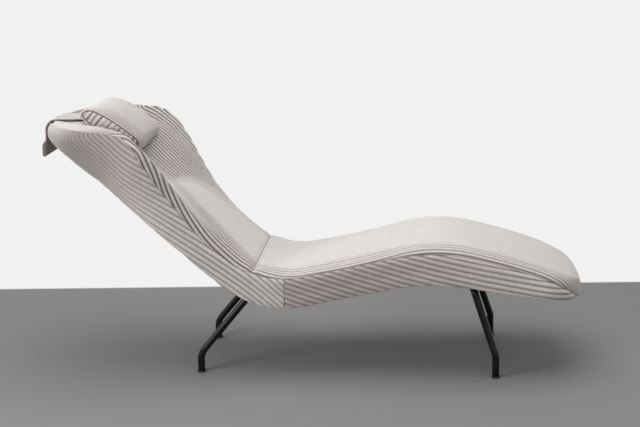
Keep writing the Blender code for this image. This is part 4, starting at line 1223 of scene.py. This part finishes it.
    def rear_pad(self) -> Piece:
        """The rear of the back: ribs along it from the head down to the hip."""
        s = self.rows(self.shell.head + 0.006, self.rear_end, head=True)
        t, arc = even_places(self.shell.rear_section, s, -0.994, 0.994, 161)
        at = np.broadcast_to(s[:, None], t.shape)
        points = self.shell.rear(at, t)
        normals = outward(self.shell.rear, at, t, -1.0)
        middle = arc - arc[:, -1:] / 2
        groove = self.ribs.groove(middle / self.ribs.pitch + 0.5)
        edge = arc[:, -1:] / 2 - np.abs(middle)
        low = self.roll(edge, self.edge_roll) + self.roll(self.rear_end - at, self.edge_roll)
        panel = Panel(points, normals, arc, at, groove * self.shade, thick=0.004)
        panel = panel.moved(self.rear_off - self.rear_ribs * self.ribs.depth * groove - low)
        piece = panel.make(self.maker, "rear_pad", self.cloth, points - normals * self.under)
        return self.dress(piece, 0.8, "rear_padding")

    def dust_cover(self) -> Piece:
        """The dark cloth under the seat: a flat skin with its edge turned up."""
        s = np.linspace(self.rear_end + 0.001, self.shell.line.end - 0.02, 120)
        t = np.broadcast_to(np.linspace(-0.990, 0.990, 48)[None, :], (120, 48))
        at = np.broadcast_to(s[:, None], t.shape)
        points = self.shell.rear(at, t)
        normals = outward(self.shell.rear, at, t, -1.0)
        rise = 0.0006 + 0.0012 * np.clip((np.abs(t) - 0.96) / 0.03, 0, 1) ** 2
        panel = Panel(points, normals, points[..., 1], at, np.zeros(t.shape), thick=0.0012).moved(-rise)
        piece = panel.make(self.maker, "dust_cover", self.lining, points - normals * 0.0008)
        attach(piece, Body.CHAISE.value)
        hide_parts("underside_lining")
        width = 2 * float(np.mean(self.shell.section(s).base)) * 0.99
        return piece

    def seam(self, name: str, path: Array, radius: float = 0.0016) -> Piece:
        """A sewn cord in a seam: a small circle carried along the path, square to it.

        Args:
            name: the piece's name.
            path: points of the cord's middle.
            radius: its radius.

        Returns:
            The object.
        """
        beside = np.cross(tangents(path), np.array([0.12, 0.21, 0.97]))
        beside /= np.linalg.norm(beside, axis=1, keepdims=True)
        rings = tube_rings(path, beside, radius, 8)
        piece = self.maker.piece(name, rings.reshape(-1, 3), ring_faces(*rings.shape[:2]), self.thread)
        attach(piece, Body.CHAISE.value)
        return piece

    def seams(self) -> None:
        """Cords along the edges, down the sides between back and seat, and in the crease."""
        sunk = 0.0052
        for hand in Hand:
            s = np.linspace(0.115, self.shell.foot_tip - 0.004, 320)
            v = np.full_like(s, 1.985)
            path = self.shell.top(s, v) - outward(self.shell.top, s, v) * sunk
            self.seam("edge_seam_" + hand.word, mirrored(path, hand))
            u = np.linspace(0.05, 0.97, 24)
            s = np.full_like(u, self.shell.side_seam)
            path = self.shell.side(s, u) - outward(self.shell.side, s, u) * sunk
            self.seam("side_seam_" + hand.word, mirrored(path, hand))
        v = np.linspace(-1.9, 1.9, 120)
        s = np.full_like(v, self.shell.crease)
        self.seam("crease_seam", self.shell.top(s, v) - outward(self.shell.top, s, v) * sunk)

    def build(self) -> None:
        """Make every piece of the cover."""
        self.back_pad()
        self.seat_pad()
        for hand in Hand:
            self.back_side(hand)
            self.seat_side(hand)
        self.rear_pad()
        self.dust_cover()
        self.seams()


@dataclass
class HeadPillow:
    """The head pillow: a ribbed bolster with a shaped panel sewn into each end."""

    shell: Shell
    maker: Maker
    cloth: RibbedFabric = RibbedFabric()
    ribs: Ribs = Ribs(depth=0.0050, power=1.6)
    end_ribs: Ribs = Ribs(0.0165, 0.0048, 2.0)
    start: float = 0.040
    half: float = 0.167
    taper: float = 0.02
    droop: float = 0.012
    sag: float = 0.012
    floor: tuple[float, float] = (0.0699, 0.0739)
    top: float = 0.0812
    crown: float = 0.006
    core: tuple[float, float] = (0.102, 0.036)
    head_zone: Zone = Zone(0.075, 0.09)
    shrink_zone: Zone = Zone(0.25, 0.6)
    rib_share: tuple[float, float] = (0.60, 0.50)
    rib_zone: Zone = Zone(0.35, 0.5)
    cap: float = 0.005
    sunk: float = 0.0015
    seam_width: float = 0.009
    seam_in: float = 0.0035
    end_swell: float = 0.009
    travel: float = 0.06
    columns: int = 171
    around: int = 96
    end_rows: int = 16
    keys: Pairs = (
        (0.028, 0.0088), (0.004, 0.0145), (-0.004, 0.025), (-0.005, 0.038), (0.003, 0.0535),
        (0.018, 0.0650), (0.038, 0.0710), (0.063, 0.0755), (0.092, 0.0785), (0.122, 0.0805),
        (0.152, 0.0812), (0.175, 0.0800), (0.193, 0.0715), (0.204, 0.053), (0.2075, 0.030),
        (0.203, 0.011), (0.188, 0.0024), (0.145, 0.0012), (0.100, 0.0010), (0.058, 0.0022))

    @property
    def tilt(self) -> float:
        """Angle of the dish's floor above +X."""
        return math.atan(self.floor[1]) - self.shell.line.back_angle

    @property
    def begin(self) -> Array:
        """Start of the dish's floor, as x and z."""
        return self.shell.line.place(self.start, 0.0, self.floor[0] + self.floor[1] * self.start)[[0, 2]]

    def slope(self, a: Array, y: Array, c: Array) -> Array:
        """World points from a along the dish's floor, y across and c above it: a start plus a and c times
        the floor's direction and its normal."""
        xz = self.begin + a[..., None] * unit(self.tilt) + c[..., None] * unit(self.tilt + math.pi / 2)
        return np.stack([xz[..., 0], np.broadcast_to(y, a.shape), xz[..., 1]], -1)

    def outline(self) -> Array:
        """The section's outline, as a and c: a closed cubic curve through the keys, met at places along
        the floor that lie closer towards its two ends, along the top and then back along the bottom."""
        keys = np.array(self.keys)
        t = np.arange(0, len(keys), 0.01)
        i = t.astype(int)
        f = (t - i)[:, None]
        p0, p1, p2, p3 = (keys[(i + k) % len(keys)] for k in (-1, 0, 1, 2))
        fine = 0.5 * (2 * p1 + (p2 - p0) * f + (2 * p0 - 5 * p1 + 4 * p2 - p3) * f ** 2
                      + (3 * p1 - p0 - 3 * p2 + p3) * f ** 3)
        first, last = int(fine[:, 0].argmin()), int(fine[:, 0].argmax())
        upper = fine[first:last]
        lower = np.concatenate([fine[last:], fine[:first]])[::-1]
        half = self.around // 2
        turn = (np.arange(half) + 0.5) * math.pi / half
        a = fine[first, 0] + (fine[last, 0] - fine[first, 0]) * (1 - np.cos(turn)) / 2
        rims = [np.stack([a, np.interp(a, rim[:, 0], rim[:, 1])], -1) for rim in (upper, lower)]
        return np.concatenate([rims[0], rims[1][::-1]])

    def body(self) -> tuple[Array, Array]:
        """Points of the bolster, one ring for each column across: crowned, hollowed to the dish below,
        drawn in towards the ends and narrowed to the head.

        Returns:
            The rings, and each ring's place across from -1 to 1.
        """
        across = np.linspace(-1, 1, self.columns)
        far = np.abs(across)[:, None]
        shrink = 1 - 0.004 * self.shrink_zone.after(far)
        shrink = shrink - 0.020 * np.clip((far - 0.94) / 0.06, 0, 1) ** 3
        middle = np.array(self.core)
        flat = middle + (self.outline() - middle)[None] * shrink[..., None]
        a, c = flat[..., 0], flat[..., 1] + self.core[1] * (1 - shrink)
        head = self.head_zone.before(a)
        foot = np.clip((a - 0.165) / 0.045, 0, 1)
        y = across[:, None] * self.half * (1 - self.taper * head - 0.03 * foot ** 2)
        share = np.clip(c / self.top, 0, 1)
        crown = self.crown * (1 - far ** 2) * (1 - head)
        low = self.sag * (1 - far ** 2) + self.droop * np.clip(across[:, None], 0, 1)
        fall = low * head * np.clip(c / 0.05, 0, 1)
        height = c + self.wall(a, y) * (1 - share) + crown * share - fall
        return self.slope(a, y, height), across

    def wall(self, a: Array, y: Array) -> Array:
        """Height of the dish above the slide's floor, at its highest on each place's way."""
        heights = []
        for step in np.linspace(0, self.travel, 5):
            s = self.start + a + step
            v = np.clip(np.abs(y) / self.shell.section(s).ridge, 0, 1)
            heights.append(self.shell.top_section(s, v)[1] - self.floor[0] - self.floor[1] * s)
        return np.clip(np.max(heights, axis=0), 0, None)

    def ends(self, ring: Array, sign: float) -> tuple[Array, Array]:
        """Rows of an end panel: each point of the last ring moves to the middle between it and the one
        across, and the panel swells outwards as one less the square of the share left. Its ribs cross it
        square to the seam.

        Args:
            ring: the bolster's last ring, moved as its ribs move it.
            sign: the side's sign.

        Returns:
            The rows of points and how deep in a groove each one is.
        """
        partner = self.around - 1 - np.arange(self.around)
        middle = (ring + ring[partner]) / 2
        thick = np.linalg.norm(ring - ring[partner], axis=1)
        top = np.arange(self.around // 2)
        arc = np.zeros(self.around)
        arc[top] = np.concatenate([[0], np.cumsum(np.linalg.norm(np.diff(ring[top], axis=0), axis=1))])
        arc[partner[top]] = arc[top]
        share = np.linspace(0, 1, self.end_rows + 1)[1:, None]
        rows = ring[None] * (1 - share[..., None]) + middle[None] * share[..., None]
        swell = self.end_swell * (1 - (1 - share) ** 2) * np.clip(thick / 0.035, 0, 1)[None]
        groove = self.end_ribs.groove(arc / self.end_ribs.pitch)[None] * eased(share / 0.10)
        # Next to the seam the end panel counts as a groove's bottom: a dip in the cloth, and painted shade
        # darkening it.
        groove = np.maximum(groove, 1 - eased(share / 0.08))
        rows[..., 1] += sign * (swell - self.end_ribs.depth * groove * np.clip(thick / 0.03, 0, 1)[None])
        return rows, groove

    def build(self) -> None:
        """Make the pillow: the bolster's ribs run over it from head to foot, and its ends are closed."""
        points, across = self.body()
        around = np.roll(points, -1, 1) - np.roll(points, 1, 1)
        normals = np.cross(around, np.gradient(points, axis=0))
        normals /= np.maximum(np.linalg.norm(normals, axis=-1, keepdims=True), 1e-12)
        centre = points.mean((0, 1))
        normals *= np.sign(np.einsum("ijk,ijk->", normals, points - centre))
        crisp = self.rib_share[0] + self.rib_share[1] * self.rib_zone.after(np.abs(across))
        groove = self.ribs.groove(across * self.half / self.ribs.pitch + 0.5) * crisp
        groove = np.broadcast_to(groove[:, None], points.shape[:2])
        top = np.arange(self.around // 2)
        swell = np.zeros(points.shape[:2])
        swell[:, top] = PadSim(cap=self.cap, rows=30, columns=22).swell(points[:, top], normals[:, top])
        edge = np.clip(1 - (1 - np.abs(across)) * self.half / self.seam_width, 0, 1)[:, None] ** 2
        # Towards the ends the groove value rises to 1: a dip into the seam, and painted shade darkening
        # it.
        groove = np.maximum(groove, edge ** 3)
        ground = np.clip((points[..., 2] - points[..., 2].min()) / 0.02, 0, 1)
        depth = self.ribs.depth * eased(self.height(points) / 0.006)
        out = swell - self.sunk - depth * groove - self.seam_in * edge * ground
        points = points + normals * out[..., None]
        near, near_groove = self.ends(points[0], -1.0)
        far, far_groove = self.ends(points[-1], 1.0)
        rings = np.concatenate([near[::-1], points, far])
        grooves = np.concatenate([near_groove[::-1], groove, far_groove])
        middle = rings[self.columns // 2]
        run = np.cumsum(np.linalg.norm(np.diff(middle, axis=0, append=middle[:1]), axis=1))
        uv = np.stack([rings[..., 1], np.broadcast_to(run, rings.shape[:2])], -1)
        faces = ring_faces(*rings.shape[:2], capped=False)
        piece = self.maker.piece("pillow", rings.reshape(-1, 3), faces, self.cloth, uv.reshape(-1, 2),
                                 grooves.ravel())
        bm = bmesh.new()
        bm.from_mesh(piece.data)
        bmesh.ops.remove_doubles(bm, verts=bm.verts, dist=1e-5)
        bm.to_mesh(piece.data)
        bm.free()
        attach(piece, Body.PILLOW.value)
        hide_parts("pillow_cover", "pillow_core", "strap_end")

    def height(self, points: Array) -> Array:
        """Height of points above the dish's floor: their way from its start, along its normal."""
        return (points[..., [0, 2]] - self.begin) @ unit(self.tilt + math.pi / 2)


@dataclass
class Strap:
    """The pillow's strap: over the head end, down behind it, and a hem folded round the weight bar."""

    shell: Shell
    maker: Maker
    cloth: RibbedFabric = RibbedFabric()
    ribs: Ribs = Ribs(0.0205, 0.0011, 2.2)
    half: float = 0.073
    thick: float = 0.0050
    bend_in: float = -0.0066
    bend_radius: float = 0.034
    bottom_below: float = 0.098
    hem_top_below: float = 0.063
    bar_out: float = 0.0099
    hem_over: float = 0.012
    hem_thick: float = 0.0118
    hem_fold: float = 0.0060
    fall_out: float = 0.0030
    fall_swell: float = 0.0006
    edge_turn: float = 0.92
    edge_width: float = 0.003
    edge_thin: float = 0.75
    columns: int = 66
    under_columns: int = 20
    # Painted shade: the band's underside takes a colour from partway down the grooves, darker than the
    # crowns.
    underside_shade: float = 0.55

    def strip(self, name: str, path: Array, thick: Array) -> Piece:
        """A ribbed band along a path in the side view: each ring is a ribbed outer row with rounded edges
        and a plain row under it.

        Args:
            name: the piece's name.
            path: points of the band's middle, as x and z.
            thick: its thickness at each of them.

        Returns:
            The object.
        """
        ahead = tangents(path)
        out = np.stack([ahead[:, 1], -ahead[:, 0]], -1)
        turn = self.edge_turn * math.pi / 2
        y = self.half * np.sin(np.linspace(-turn, turn, self.columns)) / math.sin(turn)
        groove = self.ribs.groove(y / self.ribs.pitch + 0.5)
        past = np.clip((np.abs(y) - self.half + self.edge_width) / self.edge_width, 0, 1)
        edge = 1 - self.edge_thin * past ** 2
        upper = thick[:, None] / 2 * edge[None, :] - self.ribs.depth * groove[None, :] * (edge > 0.9)
        back = np.linspace(1, -1, self.under_columns)
        past = np.clip((np.abs(back) - 0.96) / 0.04, 0, 1)
        low = -thick[:, None] / 2 * (1 - self.edge_thin * past ** 2)[None, :]
        rise = np.concatenate([upper, low], 1)
        flat = path[:, None] + out[:, None] * rise[..., None]
        place = np.broadcast_to(np.concatenate([y, back * self.half]), rise.shape)
        rings = np.stack([flat[..., 0], place, flat[..., 1]], -1)
        run = np.concatenate([[0], np.cumsum(np.linalg.norm(np.diff(path, axis=0), axis=1))])
        uv = np.stack([place, np.broadcast_to(run[:, None], place.shape)], -1)
        # The underside's painted shade.
        below = np.full(self.under_columns, self.underside_shade)
        grooves = np.broadcast_to(np.concatenate([groove, below]), rise.shape)
        faces = ring_faces(*rings.shape[:2])
        return self.maker.piece(name, rings.reshape(-1, 3), faces, self.cloth, uv.reshape(-1, 2),
                                grooves.ravel())

    def path(self) -> tuple[Array, float, float]:
        """The band's middle from under the pillow to the end of the bend: it lies sunk in the back's pad,
        rises over the brow and turns down a quarter circle.

        Returns:
            The path as x and z, the x of the fall, and the z where it starts.
        """
        s = np.linspace(0.090, 0.020, 24)
        rise = -0.0022 + 0.0076 * eased((0.085 - s) / 0.033)
        level = self.shell.line.place(s, 0.0, self.shell.section(s).h_centre + rise)[:, [0, 2]]
        x, z = self.shell.line.head[0] + self.bend_in, level[-1, 1] + 0.0005 - self.bend_radius
        centre = np.array([x, z])
        turn = np.linspace(0, math.pi / 2, 18)[:, None]
        arc = centre + self.bend_radius * np.concatenate([-np.sin(turn), np.cos(turn)], 1)
        gap = np.linspace(0, 1, 6)[1:-1, None]
        joined = np.concatenate([level, level[-1] * (1 - gap) + arc[0] * gap, arc])
        return joined, float(arc[-1, 0]), float(arc[-1, 1])

    def build(self) -> None:
        """Make the band over the head, its fall and the hem, which rides on the weight."""
        path, x, z = self.path()
        over = self.strip("strap_over", path, np.full(len(path), self.thick))
        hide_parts("strap_bridge")
        self.dress(over, Body.CHAISE, (2 * self.half, self.length(path)), ["back_pad"])

        bottom = float(self.shell.line.head[1]) - self.bottom_below
        hem_top = float(self.shell.line.head[1]) - self.hem_top_below
        down = np.linspace(0, 1, 16)
        out = self.fall_out * eased(down) * down
        fall = np.stack([x - out, z + 0.0002 - (z - hem_top + 0.003) * down], -1)
        hang = self.strip("strap_fall", fall, self.thick + self.fall_swell * eased(down))
        self.dress(hang, Body.CHAISE, (2 * self.half, self.length(fall)), ["strap_over"])
        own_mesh(hang)

        down = np.linspace(0, 1, 22)
        top = hem_top + self.hem_over
        thick = self.hem_fold + (self.hem_thick - self.hem_fold) * eased(down / 0.30)
        hem = np.stack([x - self.bar_out + (self.hem_thick - thick) / 2, top - (top - bottom) * down], -1)
        thick *= np.sqrt(np.clip(1 - np.clip((down - 0.90) / 0.10, 0, 1) ** 2, 0.02, 1))
        weighted = self.strip("strap_hem", hem, thick)
        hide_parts("strap_flap")
        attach(weighted, Body.WEIGHT.value)

    def length(self, path: Array) -> float:
        """Length of a path."""
        return float(np.linalg.norm(np.diff(path, axis=0), axis=1).sum())

    def dress(self, piece: Piece, body: Body, flat: tuple[float, float], rests_on: list[str]) -> None:
        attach(piece, body.value)


@dataclass
class Leg:
    """A bent tube leg with its floor glide: upright from the floor, a bend, then straight to its plate."""

    name: str
    foot: tuple[float, float]
    bend: float
    radius: float
    top_s: float
    top_y: float

    TUBE = 0.0112
    GLIDE = 0.0138
    GLIDE_HEIGHT = 0.0065
    PLATE_GAP = 0.0038
    SIDES = 36
    GLIDE_PROFILE = (
        (0.0, 0.0116), (0.0003, 0.0126), (0.0012, 0.0135), (0.0022, GLIDE), (0.0042, GLIDE),
        (0.0052, 0.0117), (0.0059, 0.0108), (0.0062, 0.0100), (0.0062, 0.0074), (0.0200, 0.0074))
    PLASTIC = SatinPaint("glide_plastic", (0.016, 0.016, 0.016), (0.026, 0.026, 0.026), (0.50, 0.64))

    def path(self, shell: Shell, hand: Hand) -> tuple[Array, Array, Array]:
        """The tube's middle line: an upright, a slanted straight, and between them an arc touching both.

        Args:
            shell: the shell that the leg meets.
            hand: its side.

        Returns:
            The path, the point on the plate's face and that face's normal.
        """
        angle = float(shell.line.angle(np.array(self.top_s)))
        normal = np.array([-math.sin(angle), 0.0, math.cos(angle)])
        face = shell.line.place(self.top_s, self.top_y * hand.value, -self.PLATE_GAP)
        low = np.array([self.foot[0], self.foot[1] * hand.value, 0.0])
        corner = low + np.array([0, 0, self.bend])
        up = np.array([0.0, 0.0, 1.0])
        slant = (face - corner) / np.linalg.norm(face - corner)
        half = math.acos(float(up @ slant)) / 2
        back = self.radius * math.tan(half)
        toward = (slant - up) / np.linalg.norm(slant - up)
        centre = corner + toward * self.radius / math.cos(half)
        first, last = corner - up * back - centre, corner + slant * back - centre
        turn = np.linspace(0, 1, 14)[:, None] * 2 * half
        arc = centre + (np.sin(2 * half - turn) * first + np.sin(turn) * last) / math.sin(2 * half)
        rise = np.linspace(self.GLIDE_HEIGHT + 0.0004, arc[0, 2] - 0.004, 5)[:, None]
        upright = low * np.array([1, 1, 0]) + up * rise
        climb = np.linspace(0.06, 1, 9)[:, None]
        return np.concatenate([upright, arc, arc[-1] + (face - arc[-1]) * climb]), face, normal

    def build(self, shell: Shell, maker: Maker, hand: Hand) -> None:
        """Make the tube, cut to the plate at its top, and the turned glide under it."""
        path, face, normal = self.path(shell, hand)
        end = tangents(path)[-1]
        side = np.cross(np.array([0.0, 0.0, 1.0]), end)
        rings = tube_rings(path, side / np.linalg.norm(side), self.TUBE, self.SIDES)
        rings[-1] += end * (((face - rings[-1]) @ normal) / float(end @ normal))[:, None]
        tube = maker.piece("%s_tube_%s" % (self.name, hand.word), rings.reshape(-1, 3),
                           ring_faces(*rings.shape[:2]), SatinPaint())
        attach(tube, Body.CHAISE.value)
        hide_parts("%s_leg_%s" % (self.name, hand.word))
        profile = np.array(self.GLIDE_PROFILE)
        angle = np.linspace(0, 2 * math.pi, self.SIDES, endpoint=False)
        circle = np.stack([np.cos(angle), np.sin(angle)], -1) * profile[:, 1][:, None, None]
        level = np.broadcast_to(profile[:, 0][:, None, None], (len(profile), self.SIDES, 1))
        rings = np.concatenate([circle + np.array([self.foot[0], self.foot[1] * hand.value]), level], -1)
        glide = maker.piece("%s_foot_%s" % (self.name, hand.word), rings.reshape(-1, 3),
                            ring_faces(*rings.shape[:2]), self.PLASTIC)
        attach(glide, Body.CHAISE.value)
        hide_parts("%s_glide_%s" % (self.name, hand.word))


@dataclass
class InnerFrame:
    """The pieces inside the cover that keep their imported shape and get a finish."""

    maker: Maker
    wood: Wood = Wood()
    steel: BrightSteel = BrightSteel()
    paint: SatinPaint = SatinPaint("plate_black", (0.014, 0.014, 0.015), (0.034, 0.034, 0.035),
                                   (0.36, 0.52))
    webbing: PlainWeave = PlainWeave("jute_web", (0.150, 0.135, 0.115), (0.060, 0.054, 0.047), 620.0)

    def finish_for(self, node: str):
        """The finish of a node, by its name."""
        if "_web_" in node:
            return self.webbing
        if "plate" in node:
            return self.paint
        if "bolt" in node or node in ("crease_rod", "counterweight_bar"):
            return self.steel
        return self.wood

    def build(self) -> None:
        """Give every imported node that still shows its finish."""
        for name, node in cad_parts.items():
            if node.hide_render:
                continue
            node.data.materials.clear()
            node.data.materials.append(self.maker.finish(self.finish_for(name)))
            LOG.info("%s keeps its packed shape", name)


def seen(tree: bpy.types.NodeTree) -> Socket:
    """One for rays that look at the stage, as the largest of three flags: from the camera, from gloss and
    through glass."""
    path = tree.nodes.new("ShaderNodeLightPath")
    flag = path.outputs["Is Camera Ray"]
    for other in ("Is Glossy Ray", "Is Transmission Ray"):
        most = tree.nodes.new("ShaderNodeMath")
        most.operation = "MAXIMUM"
        tree.links.new(flag, most.inputs[0])
        tree.links.new(path.outputs[other], most.inputs[1])
        flag = most.outputs[0]
    return flag


@dataclass
class Studio:
    """A plain floor that pales into the background, soft light from above, and the camera."""

    camera_place: tuple[float, float, float] = (0.400, -4.496, 1.416)
    pitch: float = math.radians(11.85)
    roll: float = math.radians(1.3)
    yaw: float = math.radians(4.8)
    lens: float = 81.0
    floor_colour: Colour = (0.224, 0.222, 0.220)
    floor_half: float = 60.0
    wall_way: tuple[float, float, float] = (-0.04, 1.0, 0.0)
    wall_line: tuple[float, float] = (0.87, 0.89)
    pale_ring: tuple[float, float] = (1.9, 3.2)
    background: float = 0.88
    sky: float = 0.53

    def whitening(self, g: Graph, value: Socket, span: tuple[float, float]) -> Socket:
        """A soft step from 0 to 1 as a value crosses a span."""
        limits = {"Value": value, "From Min": span[0], "From Max": span[1]}
        return g.add("ShaderNodeMapRange", limits, interpolation_type="SMOOTHSTEP").outputs[0]

    def floor(self) -> None:
        """A wide flat floor: grey round the object, where it keeps the shadow, and the background's white
        from a line behind it on, where a wall would stand, and far off all round."""
        mesh = bpy.data.meshes.new("studio_floor")
        far = self.floor_half
        corners = [(-far, -far, 0), (far, -far, 0), (far, far, 0), (-far, far, 0)]
        mesh.from_pydata(corners, [], [(0, 1, 2, 3)])
        g = Graph("studio_paper")
        place = g.object_place
        behind = g.add("ShaderNodeVectorMath", {0: place, 1: self.wall_way}, operation="DOT_PRODUCT")
        away = g.add("ShaderNodeVectorMath", {0: place}, operation="LENGTH")
        wall = self.whitening(g, behind.outputs["Value"], self.wall_line)
        pale = self.whitening(g, away.outputs["Value"], self.pale_ring)
        glow = g.combine("MULTIPLY", g.combine("MAXIMUM", wall, pale), seen(g.tree))
        g.feed(g.shader, {"Base Color": (*self.floor_colour, 1.0), "Roughness": 0.75})
        g.feed(g.shader, {"Specular IOR Level": 0.2})
        white = g.add("ShaderNodeEmission", {"Color": (1.0, 1.0, 1.0, 1.0), "Strength": self.background})
        both = g.add("ShaderNodeMixShader", {0: glow, 1: g.shader.outputs[0], 2: white.outputs[0]})
        g.tree.links.new(both.outputs[0], g.tree.get_output_node("ALL").inputs["Surface"])
        mesh.materials.append(g.material)
        obj = bpy.data.objects.new("studio_floor", mesh)
        bpy.context.scene.collection.objects.link(obj)

    def lights(self) -> None:
        """A wide soft lamp overhead, a weak one from the front and the head's side, and an even sky."""
        lamps = (("overhead", (0.2, -0.1, 3.3), (0.0, 0.0, 0.0), 3.0, 60.0),
                 ("front", (-2.3, -2.3, 1.5), (math.radians(72), 0.0, math.radians(-40)), 1.2, 48.0))
        for name, place, turn, size, power in lamps:
            lamp = bpy.data.lights.new(name, "AREA")
            lamp.shape = "SQUARE"
            lamp.size = size
            lamp.energy = power
            obj = bpy.data.objects.new(name, lamp)
            obj.location = place
            obj.rotation_euler = turn
            obj.visible_camera = False
            bpy.context.scene.collection.objects.link(obj)
        world = bpy.data.worlds.new("sky")
        world.use_nodes = True
        tree = world.node_tree
        light = tree.nodes["Background"]
        light.inputs["Color"].default_value = (1.0, 1.0, 1.0, 1.0)
        level = tree.nodes.new("ShaderNodeMapRange")
        level.inputs["To Min"].default_value = self.sky
        level.inputs["To Max"].default_value = self.background
        tree.links.new(seen(tree), level.inputs["Value"])
        tree.links.new(level.outputs[0], light.inputs["Strength"])
        bpy.context.scene.world = world

    def camera(self) -> None:
        """The camera at the picture's angle: turned left by the yaw, down by the pitch, then rolled."""
        sy, cy = math.sin(self.yaw), math.cos(self.yaw)
        sp, cp = math.sin(self.pitch), math.cos(self.pitch)
        ahead = np.array([-sy * cp, cy * cp, -sp])
        right = np.array([cy, sy, 0.0])
        up = np.cross(right, ahead)
        sr, cr = math.sin(self.roll), math.cos(self.roll)
        turned = np.stack([cr * right - sr * up, sr * right + cr * up, -ahead], 1)
        matrix = np.eye(4)
        matrix[:3, :3] = turned
        matrix[:3, 3] = self.camera_place
        data = bpy.data.cameras.new("view")
        data.lens = self.lens
        data.sensor_width = 36.0
        obj = bpy.data.objects.new("view", data)
        obj.matrix_world = Matrix(matrix.tolist())
        bpy.context.scene.collection.objects.link(obj)
        bpy.context.scene.camera = obj

    def build(self) -> None:
        """Set the stage."""
        self.floor()
        self.lights()
        self.camera()
        bpy.context.scene.view_settings.view_transform = "Standard"


def main() -> None:
    logging.basicConfig(level=logging.INFO, format="%(name)s %(message)s")
    maker = Maker()
    shell = Shell()
    Studio().build()
    Upholstery(shell, maker).build()
    HeadPillow(shell, maker).build()
    Strap(shell, maker).build()
    legs = (Leg("rear", (-0.348, 0.186), 0.061, 0.055, 0.8006, 0.172),
            Leg("front", (0.573, 0.2355), 0.070, 0.030, 1.5064, 0.214))
    for leg in legs:
        for hand in Hand:
            leg.build(shell, maker, hand)
    InnerFrame(maker).build()


if __name__ == "__main__":
    main()
